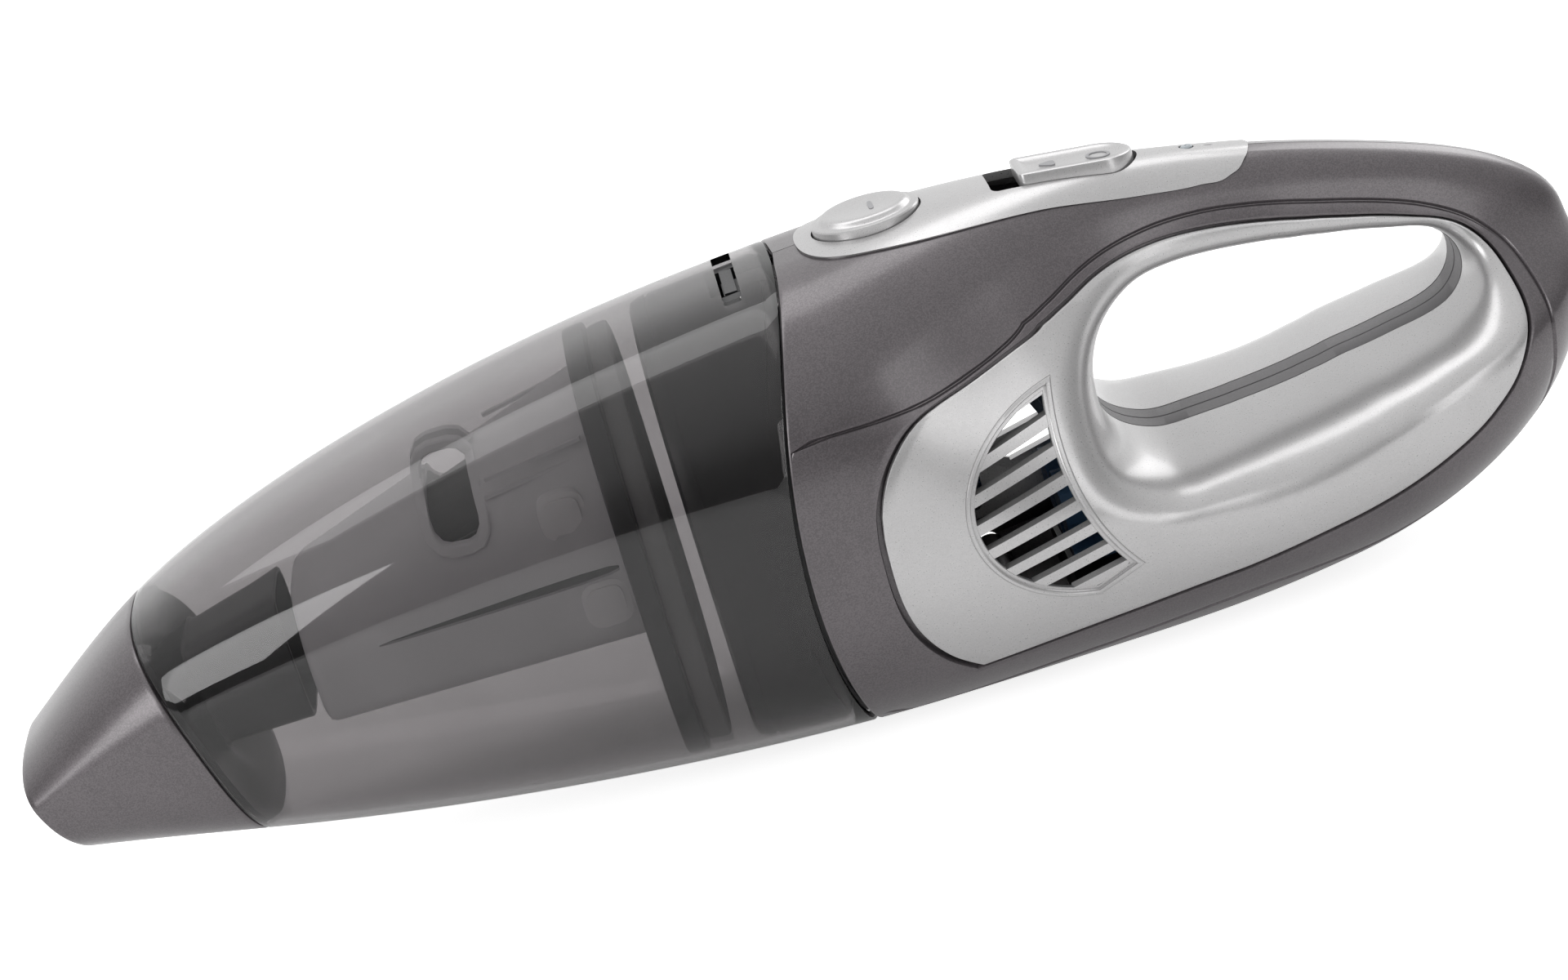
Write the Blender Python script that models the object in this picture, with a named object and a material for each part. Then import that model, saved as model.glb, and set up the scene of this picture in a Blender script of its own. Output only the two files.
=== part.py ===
"""Cordless handheld vacuum: the model of every piece, in metres, +Z up.

X runs from the suction mouth (-X) to the tail of the handle (+X), +Y is the right side, and the belly
rests on Z = 0.  The outer skin is one rule, half_width(x, z), between a top and a bottom line.
"""

import math

import bmesh
import bpy
import numpy as np
from mathutils import Matrix, Vector

MM = 0.001

# Overall size
LENGTH = 418 * MM
HEIGHT = 123.5 * MM
WIDTH = 110 * MM
NOSE = -LENGTH / 2
TAIL = LENGTH / 2

# Walls and clearances
WALL = 2.2 * MM
CUP_WALL = 2.0 * MM
GAP = 0.3 * MM
SEAM_GAP = 0.4 * MM
CUP_REAR_GAP = 1.0 * MM
PLUG_GAP = 0.6 * MM

# Top and bottom lines: share of the length from the nose, share of the height
TOP_LINE = (
    (0.000, 0.448), (0.081, 0.644), (0.165, 0.772), (0.285, 0.884), (0.404, 0.951),
    (0.524, 0.987), (0.644, 0.999), (0.763, 0.957), (0.883, 0.870), (1.000, 0.821),
)
BOTTOM_LINE = (
    (0.000, 0.240), (0.081, 0.184), (0.165, 0.126), (0.285, 0.060), (0.404, 0.016),
    (0.524, -0.006), (0.644, -0.004), (0.763, 0.008), (0.883, 0.060), (1.000, 0.093),
)
TAIL_HEIGHT = 0.577
TAIL_START = 0.811
TAIL_POWER = 2.2
TAIL_SIDE_POWER = 2.6
# Half width as a share of half the overall width, and how narrow the upper part (the handle bar) is
SIDE_LINE = (
    (0.000, 0.49), (0.117, 0.69), (0.261, 0.855), (0.380, 0.945), (0.524, 1.0),
    (0.644, 1.0), (0.787, 0.93), (0.907, 0.84), (1.000, 0.76),
)
UPPER_LINE = (
    (0.000, 1.0), (0.500, 1.0), (0.548, 0.98), (0.644, 0.70), (0.739, 0.42), (0.835, 0.37), (1.000, 0.40),
)
UPPER_START = 0.35
UPPER_SPAN = 0.50
SECTION_POWER = 2.6

# Joints between nozzle, cup and body
BODY_SEAM = 205.5 * MM
BODY_SEAM_LOW = -0.2
BODY_SEAM_RISE = 10.5 * MM
BODY_SEAM_FALL = 13.0 * MM
NOZZLE_SEAM = 47 * MM
NOZZLE_SEAM_LEAN = 9 * MM
MOUTH_SETBACK = 12 * MM

# Grip hole, drawn round its centre: angle in degrees and radius as a share of half its length
HOLE_LENGTH = 101 * MM
HOLE_TAIL_BAR = 29 * MM
HOLE_CENTRE_BACK = 0.594
HOLE_CENTRE_HEIGHT = 70 * MM
HOLE_SHAPE = (
    (0, 1.17), (10, 1.08), (20, 0.83), (30, 0.66), (45, 0.52), (60, 0.455), (75, 0.427), (90, 0.428),
    (105, 0.455), (120, 0.515), (140, 0.645), (160, 0.757), (180, 0.80), (200, 0.79), (215, 0.68),
    (230, 0.525), (255, 0.404), (270, 0.382), (285, 0.386), (300, 0.416), (315, 0.481), (330, 0.615),
    (340, 0.80), (350, 1.085),
)
# Side panel edge: share of the way from the grip hole to the outline
PANEL_SHAPE = (
    (0, 0.235), (10, 0.20), (20, 0.245), (30, 0.267), (60, 0.300), (90, 0.315), (120, 0.294), (140, 0.244),
    (150, 0.222), (156, 0.235), (160, 0.300), (165, 0.420), (170, 0.610), (175, 0.715), (180, 0.755),
    (190, 0.762), (200, 0.765), (206, 0.722), (211, 0.650), (217, 0.622), (230, 0.606), (255, 0.573),
    (285, 0.555),
    (315, 0.568), (330, 0.580), (340, 0.545), (350, 0.390),
)
PANEL_GAP_SHARE = 0.012
PANEL_WALL = 2.0 * MM
LEDGE_DROP = 3.0 * MM
LEDGE_REACH = 3.0 * MM
LEDGE_WALL = 1.6 * MM
STRIP_HALF = 7.0 * MM
STRIP_WALL = 1.8 * MM
# How softly the side rolls over into the grip hole, under the hole and at the handle bar
ROLL_LOW = 24 * MM
ROLL_BAR = 9.5 * MM
ROLL_POWER = 3.4

# Exhaust vent crescent, from the grip hole's front end and from the belly
VENT_FRONT = 42.5 * MM
VENT_LENGTH = 40 * MM
VENT_BOTTOM = 27.5 * MM
VENT_HEIGHT = 56 * MM
VENT_SLOTS = 8
VENT_SLOT = 2.6 * MM
VENT_TILT = math.radians(12)
VENT_RIM = 2.2 * MM
GRILLE_WALL = 1.6 * MM

# Control panel, button, switch and lamp
CONTROL_FRONT = 6.5 * MM
CONTROL_LENGTH = 116 * MM
CONTROL_SHAPE = (
    (0.0, 0.25), (0.03, 0.55), (0.08, 0.80), (0.20, 1.0), (0.38, 0.93), (0.57, 0.75), (0.75, 0.61),
    (0.90, 0.55), (0.97, 0.40), (1.0, 0.20),
)
CONTROL_HALF = 21 * MM
CONTROL_WALL = 2.2 * MM
CONTROL_RISE = 0.6 * MM
CONTROL_CUT = 13 * MM
BUTTON_BACK = 25 * MM
BUTTON_LENGTH = 28 * MM
BUTTON_WIDTH = 27 * MM
BUTTON_RISE = 3.0 * MM
BUTTON_STEM = 3.0 * MM
BUTTON_STEM_FORWARD = 6.5 * MM
SWITCH_BACK = 64 * MM
SWITCH_LENGTH = 30 * MM
SWITCH_WIDTH = 17 * MM
SWITCH_TRAVEL = 6.5 * MM
SWITCH_RISE = 1.6 * MM
SWITCH_THICK = 4.0 * MM
LED_BACK = 107.5 * MM
LED_RADIUS = 1.6 * MM
LED_LENGTH = 6 * MM

# Filter and duct in the cup
FLANGE_FRONT = 42 * MM
FLANGE_THICK = 5.5 * MM
FLANGE_BAND = 11 * MM
GASKET_THICK = 6 * MM
BULKHEAD_DEPTH = 24 * MM
BULKHEAD_WALL = 2.4 * MM
FILTER_LENGTH = 84 * MM
FILTER_FRONT_HALF = 27 * MM
FILTER_FRONT_LOW = 50 * MM
FILTER_FRONT_TOP = 84 * MM
FILTER_WALL = 1.8 * MM
WINDOW_BACK = 42 * MM
WINDOW_LENGTH = 13 * MM
WINDOW_LOW = 0.665
WINDOW_HIGH = 0.80
SLIT_BACK = 20 * MM
SLIT_REAR = 4 * MM
SLIT_LOW = 0.55
SLIT_WIDTH = 1.6 * MM
CLOTH_GAP = 3.0 * MM
DUCT_LENGTH = 26 * MM
DUCT_WALL = 1.6 * MM
DUCT_HALF_WIDTH = 17 * MM
DUCT_LOW = 47 * MM
DUCT_HEIGHT_FRONT = 24 * MM
DUCT_HEIGHT_REAR = 33 * MM
FLAP_THICK = 1.2 * MM

# Motor and fan
MOTOR_RADIUS = 17.5 * MM
MOTOR_LENGTH = 46 * MM
MOTOR_HEIGHT = 58 * MM
MOTOR_START = 3 * MM
SHAFT_RADIUS = 1.6 * MM
FAN_RADIUS = 27 * MM
FAN_THICK = 9 * MM
FAN_START = 8 * MM
FAN_COVER_WALL = 1.6 * MM
RING_WIDTH = 6 * MM
RING_THICK = 3 * MM

# Battery and board
CELL_RADIUS = 9.1 * MM
CELL_LENGTH = 65 * MM
CELL_PITCH = 2 * CELL_RADIUS + 0.4 * MM
CELL_START = 67 * MM
CELL_LIFT = 8.0 * MM
TRAY_WALL = 1.4 * MM
TRAY_HEIGHT = 16 * MM
BOARD_LENGTH = 30 * MM
BOARD_WIDTH = 18 * MM
BOARD_THICK = 1.6 * MM
BLOCK_SIZE = (14 * MM, 9 * MM, 4.5 * MM)

# Latch
LATCH_WIDTH = 20 * MM
LATCH_ARM_WIDTH = 11 * MM
LATCH_THICK = 2.4 * MM
LATCH_DROP = 4.6 * MM
LATCH_PIVOT_BACK = 49.5 * MM
LATCH_PIVOT_DROP = 9 * MM
CATCH_BACK = 13 * MM
CATCH_LENGTH = 5 * MM
CATCH_WIDTH = 40 * MM
HOOK_CLEARANCE = 0.4 * MM
PIN_RADIUS = 1.5 * MM
PIN_LENGTH = 24 * MM
SPRING_RADIUS = 2.9 * MM
SPRING_WIRE = 0.45 * MM
SPRING_TURNS = 3

# Screws and charging pads
SCREW_PLACES = ((38 * MM, 99 * MM), (46 * MM, 13.5 * MM), (150 * MM, 20 * MM), (198 * MM, 66 * MM))
SCREW_HEAD = 3.0 * MM
SCREW_SHAFT = 1.4 * MM
SCREW_LENGTH = 13 * MM
BOSS_RADIUS = 4.6 * MM
PAD_LENGTH = 12 * MM
PAD_WIDTH = 5 * MM
PAD_THICK = 1.2 * MM

# Mesh fineness
RING_POINTS = 28
RIM_POINTS = 7
ROLL_POINTS = 6
FLAT_POINTS = 3
OVAL_POINTS = 28

HOLE_REAR = TAIL - HOLE_TAIL_BAR
EDGE_STEP = 0.6 * MM
FLAT_BELLY = 0.02 * MM
CENTRE_X = HOLE_REAR - HOLE_CENTRE_BACK * HOLE_LENGTH
SEAM_X = NOSE + BODY_SEAM
TOP_SEAM_X = SEAM_X + BODY_SEAM_RISE * (1 - BODY_SEAM_LOW) ** 2


# --- The outer skin -------------------------------------------------------------------------------


def smooth(points, period=None):
    """A smooth curve through the points, as a function; with a period it closes on itself."""
    xs = np.array([p[0] for p in points], float)
    ys = np.array([p[1] for p in points], float)
    if period:
        xs = np.concatenate([xs[-3:] - period, xs, xs[:3] + period])
        ys = np.concatenate([ys[-3:], ys, ys[:3]])
    slopes = np.gradient(ys, xs)

    def value(x):
        if period:
            x = x % period
        i = int(np.clip(np.searchsorted(xs, x) - 1, 0, len(xs) - 2))
        step = xs[i + 1] - xs[i]
        t = (x - xs[i]) / step
        rise = (1 + 2 * t) * (1 - t) ** 2 * ys[i] + t * t * (3 - 2 * t) * ys[i + 1]
        return rise + step * (t * (1 - t) ** 2 * slopes[i] - t * t * (1 - t) * slopes[i + 1])

    return value


TOP_CURVE = smooth(TOP_LINE)
BOTTOM_CURVE = smooth(BOTTOM_LINE)
SIDE_CURVE = smooth(SIDE_LINE)
UPPER_CURVE = smooth(UPPER_LINE)
HOLE_CURVE = smooth(HOLE_SHAPE, 360)
PANEL_CURVE = smooth(PANEL_SHAPE, 360)
CONTROL_CURVE = smooth(CONTROL_SHAPE)


def share_of(x):
    return (x - NOSE) / LENGTH


def closing(x, power):
    """1 along the body, falling to 0 in a round end at the tail."""
    q = min(max((share_of(x) - TAIL_START) / (1 - TAIL_START), 0), 1)
    return (1 - q**power) ** (1 / power)


def top_z(x):
    tail = TAIL_HEIGHT * HEIGHT
    return tail + (TOP_CURVE(share_of(x)) * HEIGHT - tail) * closing(x, TAIL_POWER)


def bottom_z(x):
    tail = TAIL_HEIGHT * HEIGHT
    return tail + (BOTTOM_CURVE(share_of(x)) * HEIGHT - tail) * closing(x, TAIL_POWER)


def side_width(x, level):
    """Half width before the section's rounding; level runs from 0 at the belly to 1 at the top."""
    q = min(max((level - UPPER_START) / UPPER_SPAN, 0), 1)
    upper = q * q * (3 - 2 * q)
    wide = SIDE_CURVE(share_of(x)) * WIDTH / 2 * closing(x, TAIL_SIDE_POWER)
    return wide * (1 + (UPPER_CURVE(share_of(x)) - 1) * upper)


def half_width(x, z):
    low = bottom_z(x)
    high = top_z(x)
    half = max((high - low) / 2, GAP)
    ratio = min(max((z - (low + high) / 2) / half, -1), 1)
    return side_width(x, (ratio + 1) / 2) * (1 - abs(ratio) ** SECTION_POWER) ** (1 / SECTION_POWER)


def skin_top(x, y):
    """Height of the top of the skin at a place beside the centre line."""
    low = bottom_z(x)
    high = top_z(x)
    reach = min(abs(y) / side_width(x, 1), 1)
    return (low + high) / 2 + (high - low) / 2 * (1 - reach**SECTION_POWER) ** (1 / SECTION_POWER)


def body_seam_x(z):
    ratio = 2 * z / HEIGHT - 1
    bend = BODY_SEAM_RISE if ratio > BODY_SEAM_LOW else BODY_SEAM_FALL
    return SEAM_X + bend * (ratio - BODY_SEAM_LOW) ** 2


def section_ratio(angle):
    """Height (-1 to 1) and width (0 to 1) shares of a superellipse section at an angle."""
    s = math.sin(angle)
    c = math.cos(angle)
    return (
        math.copysign(abs(s) ** (2 / SECTION_POWER), s),
        math.copysign(abs(c) ** (2 / SECTION_POWER), c),
    )


def ring_point(x, angle):
    ratio, _ = section_ratio(angle)
    low = bottom_z(x)
    high = top_z(x)
    z = (low + high) / 2 + (high - low) / 2 * ratio
    side = 1 if math.cos(angle) >= 0 else -1
    return Vector((x, side * half_width(x, z), max(z, 0)))


def ring_normal(station, angle, share):
    """Outward direction of a lofted skin whose stations run with share."""
    step = 0.01
    turn = 0.02
    along = station(share + step, angle) - station(share - step, angle)
    around = station(share, angle + turn) - station(share, angle - turn)
    return around.cross(along).normalized()


def nozzle_seam_x(ratio):
    return NOSE + NOZZLE_SEAM - NOZZLE_SEAM_LEAN * ratio


def mouth_x(ratio):
    """The mouth leans back towards its lower lip."""
    return NOSE + MOUTH_SETBACK * ((1 - ratio) / 2) ** 2


def nozzle_station(share, angle):
    ratio, _ = section_ratio(angle)
    x = mouth_x(ratio) + (nozzle_seam_x(ratio) - mouth_x(ratio)) * share
    return ring_point(max(x, NOSE), angle)


def seam_by_ratio(ratio, shift=0.0):
    return body_seam_x((ratio + 1) / 2 * HEIGHT) + shift


def cup_station(share, angle):
    ratio, _ = section_ratio(angle)
    front = nozzle_seam_x(ratio) + SEAM_GAP
    back = seam_by_ratio(ratio, -CUP_REAR_GAP)
    return ring_point(front + (back - front) * share, angle)


# --- Curves round the grip hole ---------------------------------------------------------------------


def hole_radius(degrees):
    return HOLE_CURVE(degrees) * HOLE_LENGTH / 2


def outside(x, z):
    return x < body_seam_x(z) or x > TAIL or z > top_z(min(x, TAIL)) or z < max(bottom_z(min(x, TAIL)), 0)


def outline_radius(degrees):
    """Distance from the hole's centre to the body's outline, found by halving."""
    turn = math.radians(degrees)
    near = 0
    far = LENGTH
    for _ in range(40):
        middle = (near + far) / 2
        if outside(CENTRE_X + middle * math.cos(turn), HOLE_CENTRE_HEIGHT + middle * math.sin(turn)):
            far = middle
        else:
            near = middle
    return near


def corner_angle(x, z):
    return math.degrees(math.atan2(z - HOLE_CENTRE_HEIGHT, x - CENTRE_X)) % 360


TOP_CORNER = corner_angle(TOP_SEAM_X, top_z(TOP_SEAM_X))
LOW_SEAM_X = body_seam_x(0)
LOW_CORNER = corner_angle(LOW_SEAM_X, max(bottom_z(LOW_SEAM_X), 0))


def spread(start, end, count):
    return [start + (end - start) * i / count for i in range(count)]


def seam_angles():
    """Rays through the places where the cup's own section points meet the seam."""
    found = []
    half_ring = RING_POINTS // 2
    for i in range(half_ring):
        ratio, _ = section_ratio(math.pi / 2 - 2 * math.pi * (i + 0.5) / RING_POINTS)
        z = (ratio + 1) / 2 * HEIGHT
        found.append(corner_angle(body_seam_x(z), z))
    return [angle for angle in found if TOP_CORNER + 0.5 < angle < LOW_CORNER - 0.5]


def ray_angles():
    """Rays round the hole: fine where the outline is far away, with one on each corner of the seam."""
    over_top = spread(0, 70, 6) + spread(70, 130, 4) + spread(130, TOP_CORNER, 3)
    front = [TOP_CORNER] + seam_angles()
    below = spread(LOW_CORNER, 240, 4) + spread(240, 320, 5) + spread(320, 360, 4)
    return over_top + front + below


class Ray:
    """One direction from the hole's centre, with its three radii."""

    def __init__(self, degrees, side):
        turn = math.radians(degrees)
        self.degrees = degrees
        self.side = side
        self.way = (math.cos(turn), math.sin(turn))
        self.hole = hole_radius(degrees)
        self.outline = outline_radius(degrees)
        self.panel = self.hole + PANEL_CURVE(degrees % 360) * (self.outline - self.hole)
        self.roll = roll_depth(degrees)
        self.on_seam = TOP_CORNER - 0.01 < degrees < LOW_CORNER + 0.01
        self.at_seam_end = min(abs(degrees - TOP_CORNER), abs(degrees - LOW_CORNER)) < 0.01

    def place(self, radius):
        return (CENTRE_X + self.way[0] * radius, HOLE_CENTRE_HEIGHT + self.way[1] * radius)

    def point(self, radius):
        x, z = self.place(radius)
        return side_point(x, z, self.side)

    def normal(self, radius):
        x, z = self.place(min(radius, self.outline - EDGE_STEP))
        return side_normal(x, z, self.side)


def roll_depth(degrees):
    """How wide the rolled edge is: widest under the grip hole, narrow at the handle bar."""
    low = (1 - math.sin(math.radians(degrees))) / 2
    return ROLL_BAR + (ROLL_LOW - ROLL_BAR) * low**0.8


def rolled_width(x, z):
    """Half width of the body, rolled over into the grip hole."""
    across = x - CENTRE_X
    up = z - HOLE_CENTRE_HEIGHT
    degrees = math.degrees(math.atan2(up, across)) % 360
    depth = (math.hypot(across, up) - hole_radius(degrees)) / roll_depth(degrees)
    depth = min(max(depth, 0), 1)
    return half_width(x, z) * (1 - (1 - depth) ** ROLL_POWER) ** (1 / ROLL_POWER)


def side_point(x, z, side):
    return Vector((x, side * rolled_width(x, z), max(z, 0)))


def side_normal(x, z, side):
    """Outward direction of the body's skin, from how the half width changes beside a place."""
    if z < FLAT_BELLY:
        return Vector((0, 0, -1))
    step = 0.05 * MM
    along = (rolled_width(x + step, z) - rolled_width(x - step, z)) / (2 * step)
    up = (rolled_width(x, z + step) - rolled_width(x, z - step)) / (2 * step)
    return Vector((-along, side, -up)).normalized()


# --- Mesh helpers ---------------------------------------------------------------------------------


def clear_scene():
    for item in list(bpy.data.objects):
        bpy.data.objects.remove(item, do_unlink=True)


def new_collection(name):
    found = bpy.data.collections.new(name)
    bpy.context.scene.collection.children.link(found)
    return found


def material(name, colour, roughness, metallic=0.0, transmission=0.0):
    made = bpy.data.materials.new(name)
    made.use_nodes = True
    shader = made.node_tree.nodes["Principled BSDF"]
    shader.inputs["Base Color"].default_value = (*colour, 1)
    shader.inputs["Roughness"].default_value = roughness
    shader.inputs["Metallic"].default_value = metallic
    shader.inputs["Transmission Weight"].default_value = transmission
    return made


def finish(name, mesh, look, place=(0, 0, 0), target=None):
    """An object from a bmesh, with its origin at a place in the world."""
    bmesh.ops.remove_doubles(mesh, verts=mesh.verts, dist=0.000001)
    bmesh.ops.recalc_face_normals(mesh, faces=mesh.faces)
    bmesh.ops.translate(mesh, verts=mesh.verts, vec=-Vector(place))
    data = bpy.data.meshes.new(name)
    mesh.to_mesh(data)
    mesh.free()
    data.shade_smooth()
    data.set_sharp_from_angle(angle=math.radians(35))
    item = bpy.data.objects.new(name, data)
    item.location = place
    (target or PARTS).objects.link(item)
    if look:
        data.materials.append(look)
    else:
        item.hide_render = True
        item.display_type = "WIRE"
    return item


def swept_loop(name, sections, look, place=(0, 0, 0), target=None):
    """A closed body from equal sections that follow one another round a loop."""
    mesh = bmesh.new()
    rows = [[mesh.verts.new(p) for p in section] for section in sections]
    count = len(rows[0])
    for i, row in enumerate(rows):
        after = rows[(i + 1) % len(rows)]
        for j in range(count):
            k = (j + 1) % count
            mesh.faces.new((row[j], row[k], after[k], after[j]))
    return finish(name, mesh, look, place, target)


def capped_loft(name, sections, look, place=(0, 0, 0), target=None):
    """A closed body through equal sections, with a face at each end."""
    mesh = bmesh.new()
    rows = [[mesh.verts.new(p) for p in section] for section in sections]
    count = len(rows[0])
    for row, after in zip(rows, rows[1:]):
        for j in range(count):
            k = (j + 1) % count
            mesh.faces.new((row[j], row[k], after[k], after[j]))
    mesh.faces.new(rows[0])
    mesh.faces.new(rows[-1])
    return finish(name, mesh, look, place, target)


def prism(name, outline, start, end, look=None, place=(0, 0, 0)):
    """An (x, z) outline carried along Y."""
    sections = [[Vector((x, y, z)) for x, z in outline] for y in (start, end)]
    return capped_loft(name, sections, look, place, None if look else CUTTERS)


def plate(name, outline, low, high, look=None, place=(0, 0, 0)):
    """An (x, y) outline carried along Z."""
    sections = [[Vector((x, y, z)) for x, y in outline] for z in (low, high)]
    return capped_loft(name, sections, look, place, None if look else CUTTERS)


def box(name, low, high, look=None, place=(0, 0, 0)):
    mesh = bmesh.new()
    bmesh.ops.create_cube(mesh, size=1)
    size = Vector(high) - Vector(low)
    bmesh.ops.scale(mesh, vec=size, verts=mesh.verts)
    bmesh.ops.translate(mesh, vec=(Vector(high) + Vector(low)) / 2, verts=mesh.verts)
    return finish(name, mesh, look, place, None if look else CUTTERS)


AXES = {
    "X": Matrix.Rotation(math.radians(90), 4, "Y"),
    "Y": Matrix.Rotation(math.radians(-90), 4, "X"),
    "Z": Matrix.Identity(4),
}


def cylinder(name, centre, radius, length, axis, look=None, sides=24, place=(0, 0, 0)):
    mesh = bmesh.new()
    bmesh.ops.create_cone(
        mesh, cap_ends=True, segments=sides, radius1=radius, radius2=radius, depth=length,
        matrix=Matrix.Translation(centre) @ AXES[axis],
    )
    return finish(name, mesh, look, place, None if look else CUTTERS)


def turned(name, profile, centre, look, sides=24, place=(0, 0, 0)):
    """A ring turned about the X axis from (x, radius) points that close on themselves."""
    sections = []
    for i in range(sides):
        turn = 2 * math.pi * i / sides
        sections.append(
            [
                Vector((centre[0] + x, centre[1] + r * math.cos(turn), centre[2] + r * math.sin(turn)))
                for x, r in profile
            ]
        )
    return swept_loop(name, sections, look, place)


def combine(item, tool, how="DIFFERENCE"):
    cut = item.modifiers.new(tool.name, "BOOLEAN")
    cut.operation = how
    cut.solver = "EXACT"
    cut.object = tool


def arc(centre, radius, start, end, count):
    """Points on an arc, from and to angles in degrees; the radius may be a pair."""
    across, up = radius if isinstance(radius, tuple) else (radius, radius)
    found = []
    for i in range(count + 1):
        turn = math.radians(start + (end - start) * i / count)
        found.append((centre[0] + across * math.cos(turn), centre[1] + up * math.sin(turn)))
    return found


# --- Nozzle, dust cup and what they hold ------------------------------------------------------------


def lofted_shell(name, station, shares, wall, look):
    """A shell open at both ends: stations outside, then the same stations a wall further in."""
    sections = []
    for i in range(RING_POINTS):
        angle = 2 * math.pi * (i + 0.5) / RING_POINTS
        outer = []
        inner = []
        for share in shares:
            normal = ring_normal(station, angle, share)
            point = station(share, angle)
            outer.append(point)
            inner.append(point - normal * wall)
        sections.append(outer + inner[::-1])
    return swept_loop(name, sections, look)


def skin_inset(x, angle, offset):
    """A point an offset inside the skin's cross-section at x."""
    around = ring_point(x, angle + 0.02) - ring_point(x, angle - 0.02)
    normal = Vector((0, around.z, -around.y)).normalized()
    return ring_point(x, angle) - normal * offset


def inside_section(x, offset):
    """A level cross-section of the cup's inside at x, kept an offset clear of the skin."""
    angles = [2 * math.pi * (i + 0.5) / RING_POINTS for i in range(RING_POINTS)]
    return [skin_inset(x, angle, offset) for angle in angles]


def nozzle(looks):
    return lofted_shell("nozzle", nozzle_station, (0, 0.12, 0.4, 0.7, 1), WALL, looks["taupe"])


def dust_cup(looks):
    cup = lofted_shell("dust_cup", cup_station, (0, 0.12, 0.28, 0.45, 0.62, 0.8, 1), CUP_WALL, looks["smoke"])
    catch_x = TOP_SEAM_X - CATCH_BACK
    top = top_z(catch_x)
    slot = box(
        "catch_window",
        (catch_x - CATCH_LENGTH / 2, -CATCH_WIDTH / 2, top - 6 * CUP_WALL),
        (catch_x + CATCH_LENGTH / 2, CATCH_WIDTH / 2, top + CUP_WALL),
    )
    combine(cup, slot)
    return cup


def duct_outline(x, low, high, half):
    """A rounded duct section as (x, y, z) points."""
    corner = 0.3 * (high - low)
    points = []
    for cy, cz, start in (
        (half - corner, high - corner, 0), (corner - half, high - corner, 90),
        (corner - half, low + corner, 180), (half - corner, low + corner, 270),
    ):
        points += [Vector((x, y, z)) for y, z in arc((cy, cz), corner, start, start + 90, 3)]
    return points


def duct_start():
    return NOSE + NOZZLE_SEAM + CUP_WALL


def inlet_duct(looks):
    """The wall that closes the cup's front, with the duct that leads the dirt in."""
    faces = []
    for shift in (GAP, GAP + DUCT_WALL):
        ring = []
        for i in range(RING_POINTS):
            angle = 2 * math.pi * (i + 0.5) / RING_POINTS
            ratio, _ = section_ratio(angle)
            ring.append(skin_inset(nozzle_seam_x(ratio) + 2 * SEAM_GAP + shift, angle, CUP_WALL + PLUG_GAP))
        faces.append(ring)
    wall = capped_loft("inlet_duct", faces, looks["black"])
    start = duct_start()
    end = start + DUCT_LENGTH
    low = DUCT_LOW
    high_front = low + DUCT_HEIGHT_FRONT
    high_rear = low + DUCT_HEIGHT_REAR
    half = DUCT_HALF_WIDTH
    tube = capped_loft(
        "duct_tube",
        [duct_outline(nozzle_seam_x(0.7), low, high_front, half), duct_outline(end, low, high_rear, half)],
        None, target=CUTTERS,
    )
    bore = capped_loft(
        "duct_bore",
        [
            duct_outline(start - 6 * WALL, low + DUCT_WALL, high_front - DUCT_WALL, half - DUCT_WALL),
            duct_outline(start, low + DUCT_WALL, high_front - DUCT_WALL, half - DUCT_WALL),
            duct_outline(end + WALL, low + DUCT_WALL, high_rear - DUCT_WALL, half - DUCT_WALL),
        ],
        None, target=CUTTERS,
    )
    combine(wall, tube, "UNION")
    combine(wall, bore)
    return wall


def inlet_flap(looks):
    """A rubber flap hung inside the duct, its hinge line at the origin."""
    start = duct_start() + 2 * FLAP_THICK
    hinge = DUCT_LOW + DUCT_HEIGHT_FRONT - 2 * DUCT_WALL
    low = DUCT_LOW + DUCT_WALL + 2 * GAP
    half = DUCT_HALF_WIDTH - DUCT_WALL - 2 * GAP
    corner = 0.5 * (hinge - low)
    outline = [(-0.7 * half, hinge), (0.7 * half, hinge)] + arc(
        (0, low + corner), (half, corner), 0, -180, 10
    )
    sections = [[Vector((x, y, z)) for y, z in outline] for x in (start, start + FLAP_THICK)]
    return capped_loft("inlet_flap", sections, looks["rubber"], (start + FLAP_THICK / 2, 0, hinge))


def filter_section(x, half, low, high, top_half):
    """A flat-sided cage section, narrower at the top, with cut corners."""
    cut = 0.16 * (high - low)
    return [
        Vector((x, y, z))
        for y, z in (
            (half - cut, low), (half, low + cut), (half, high - 2.4 * cut), (top_half, high),
            (-top_half, high), (-half, high - 2.4 * cut), (-half, low + cut), (cut - half, low),
        )
    ]


def filter_sizes():
    """Front and rear of the cage, and the room it may take at the rear."""
    rear = SEAM_X - FLANGE_FRONT - GAP
    front = rear - FILTER_LENGTH
    half = half_width(rear, HEIGHT / 2) - CUP_WALL - FLANGE_BAND
    high = top_z(rear) - CUP_WALL - 0.8 * FLANGE_BAND
    return front, rear, half, high


def filter_cage(name, inset, front_inset, rear_extra, look, target=None):
    front, rear, half, high = filter_sizes()
    low = FILTER_FRONT_LOW - 6 * MM
    return capped_loft(
        name,
        [
            filter_section(
                front + front_inset, FILTER_FRONT_HALF - inset, FILTER_FRONT_LOW + inset,
                FILTER_FRONT_TOP - inset, 0.7 * FILTER_FRONT_HALF - inset,
            ),
            filter_section(rear + rear_extra, half - inset, low + inset, high - inset, 0.66 * half - inset),
        ],
        look, target=target,
    )


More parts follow.
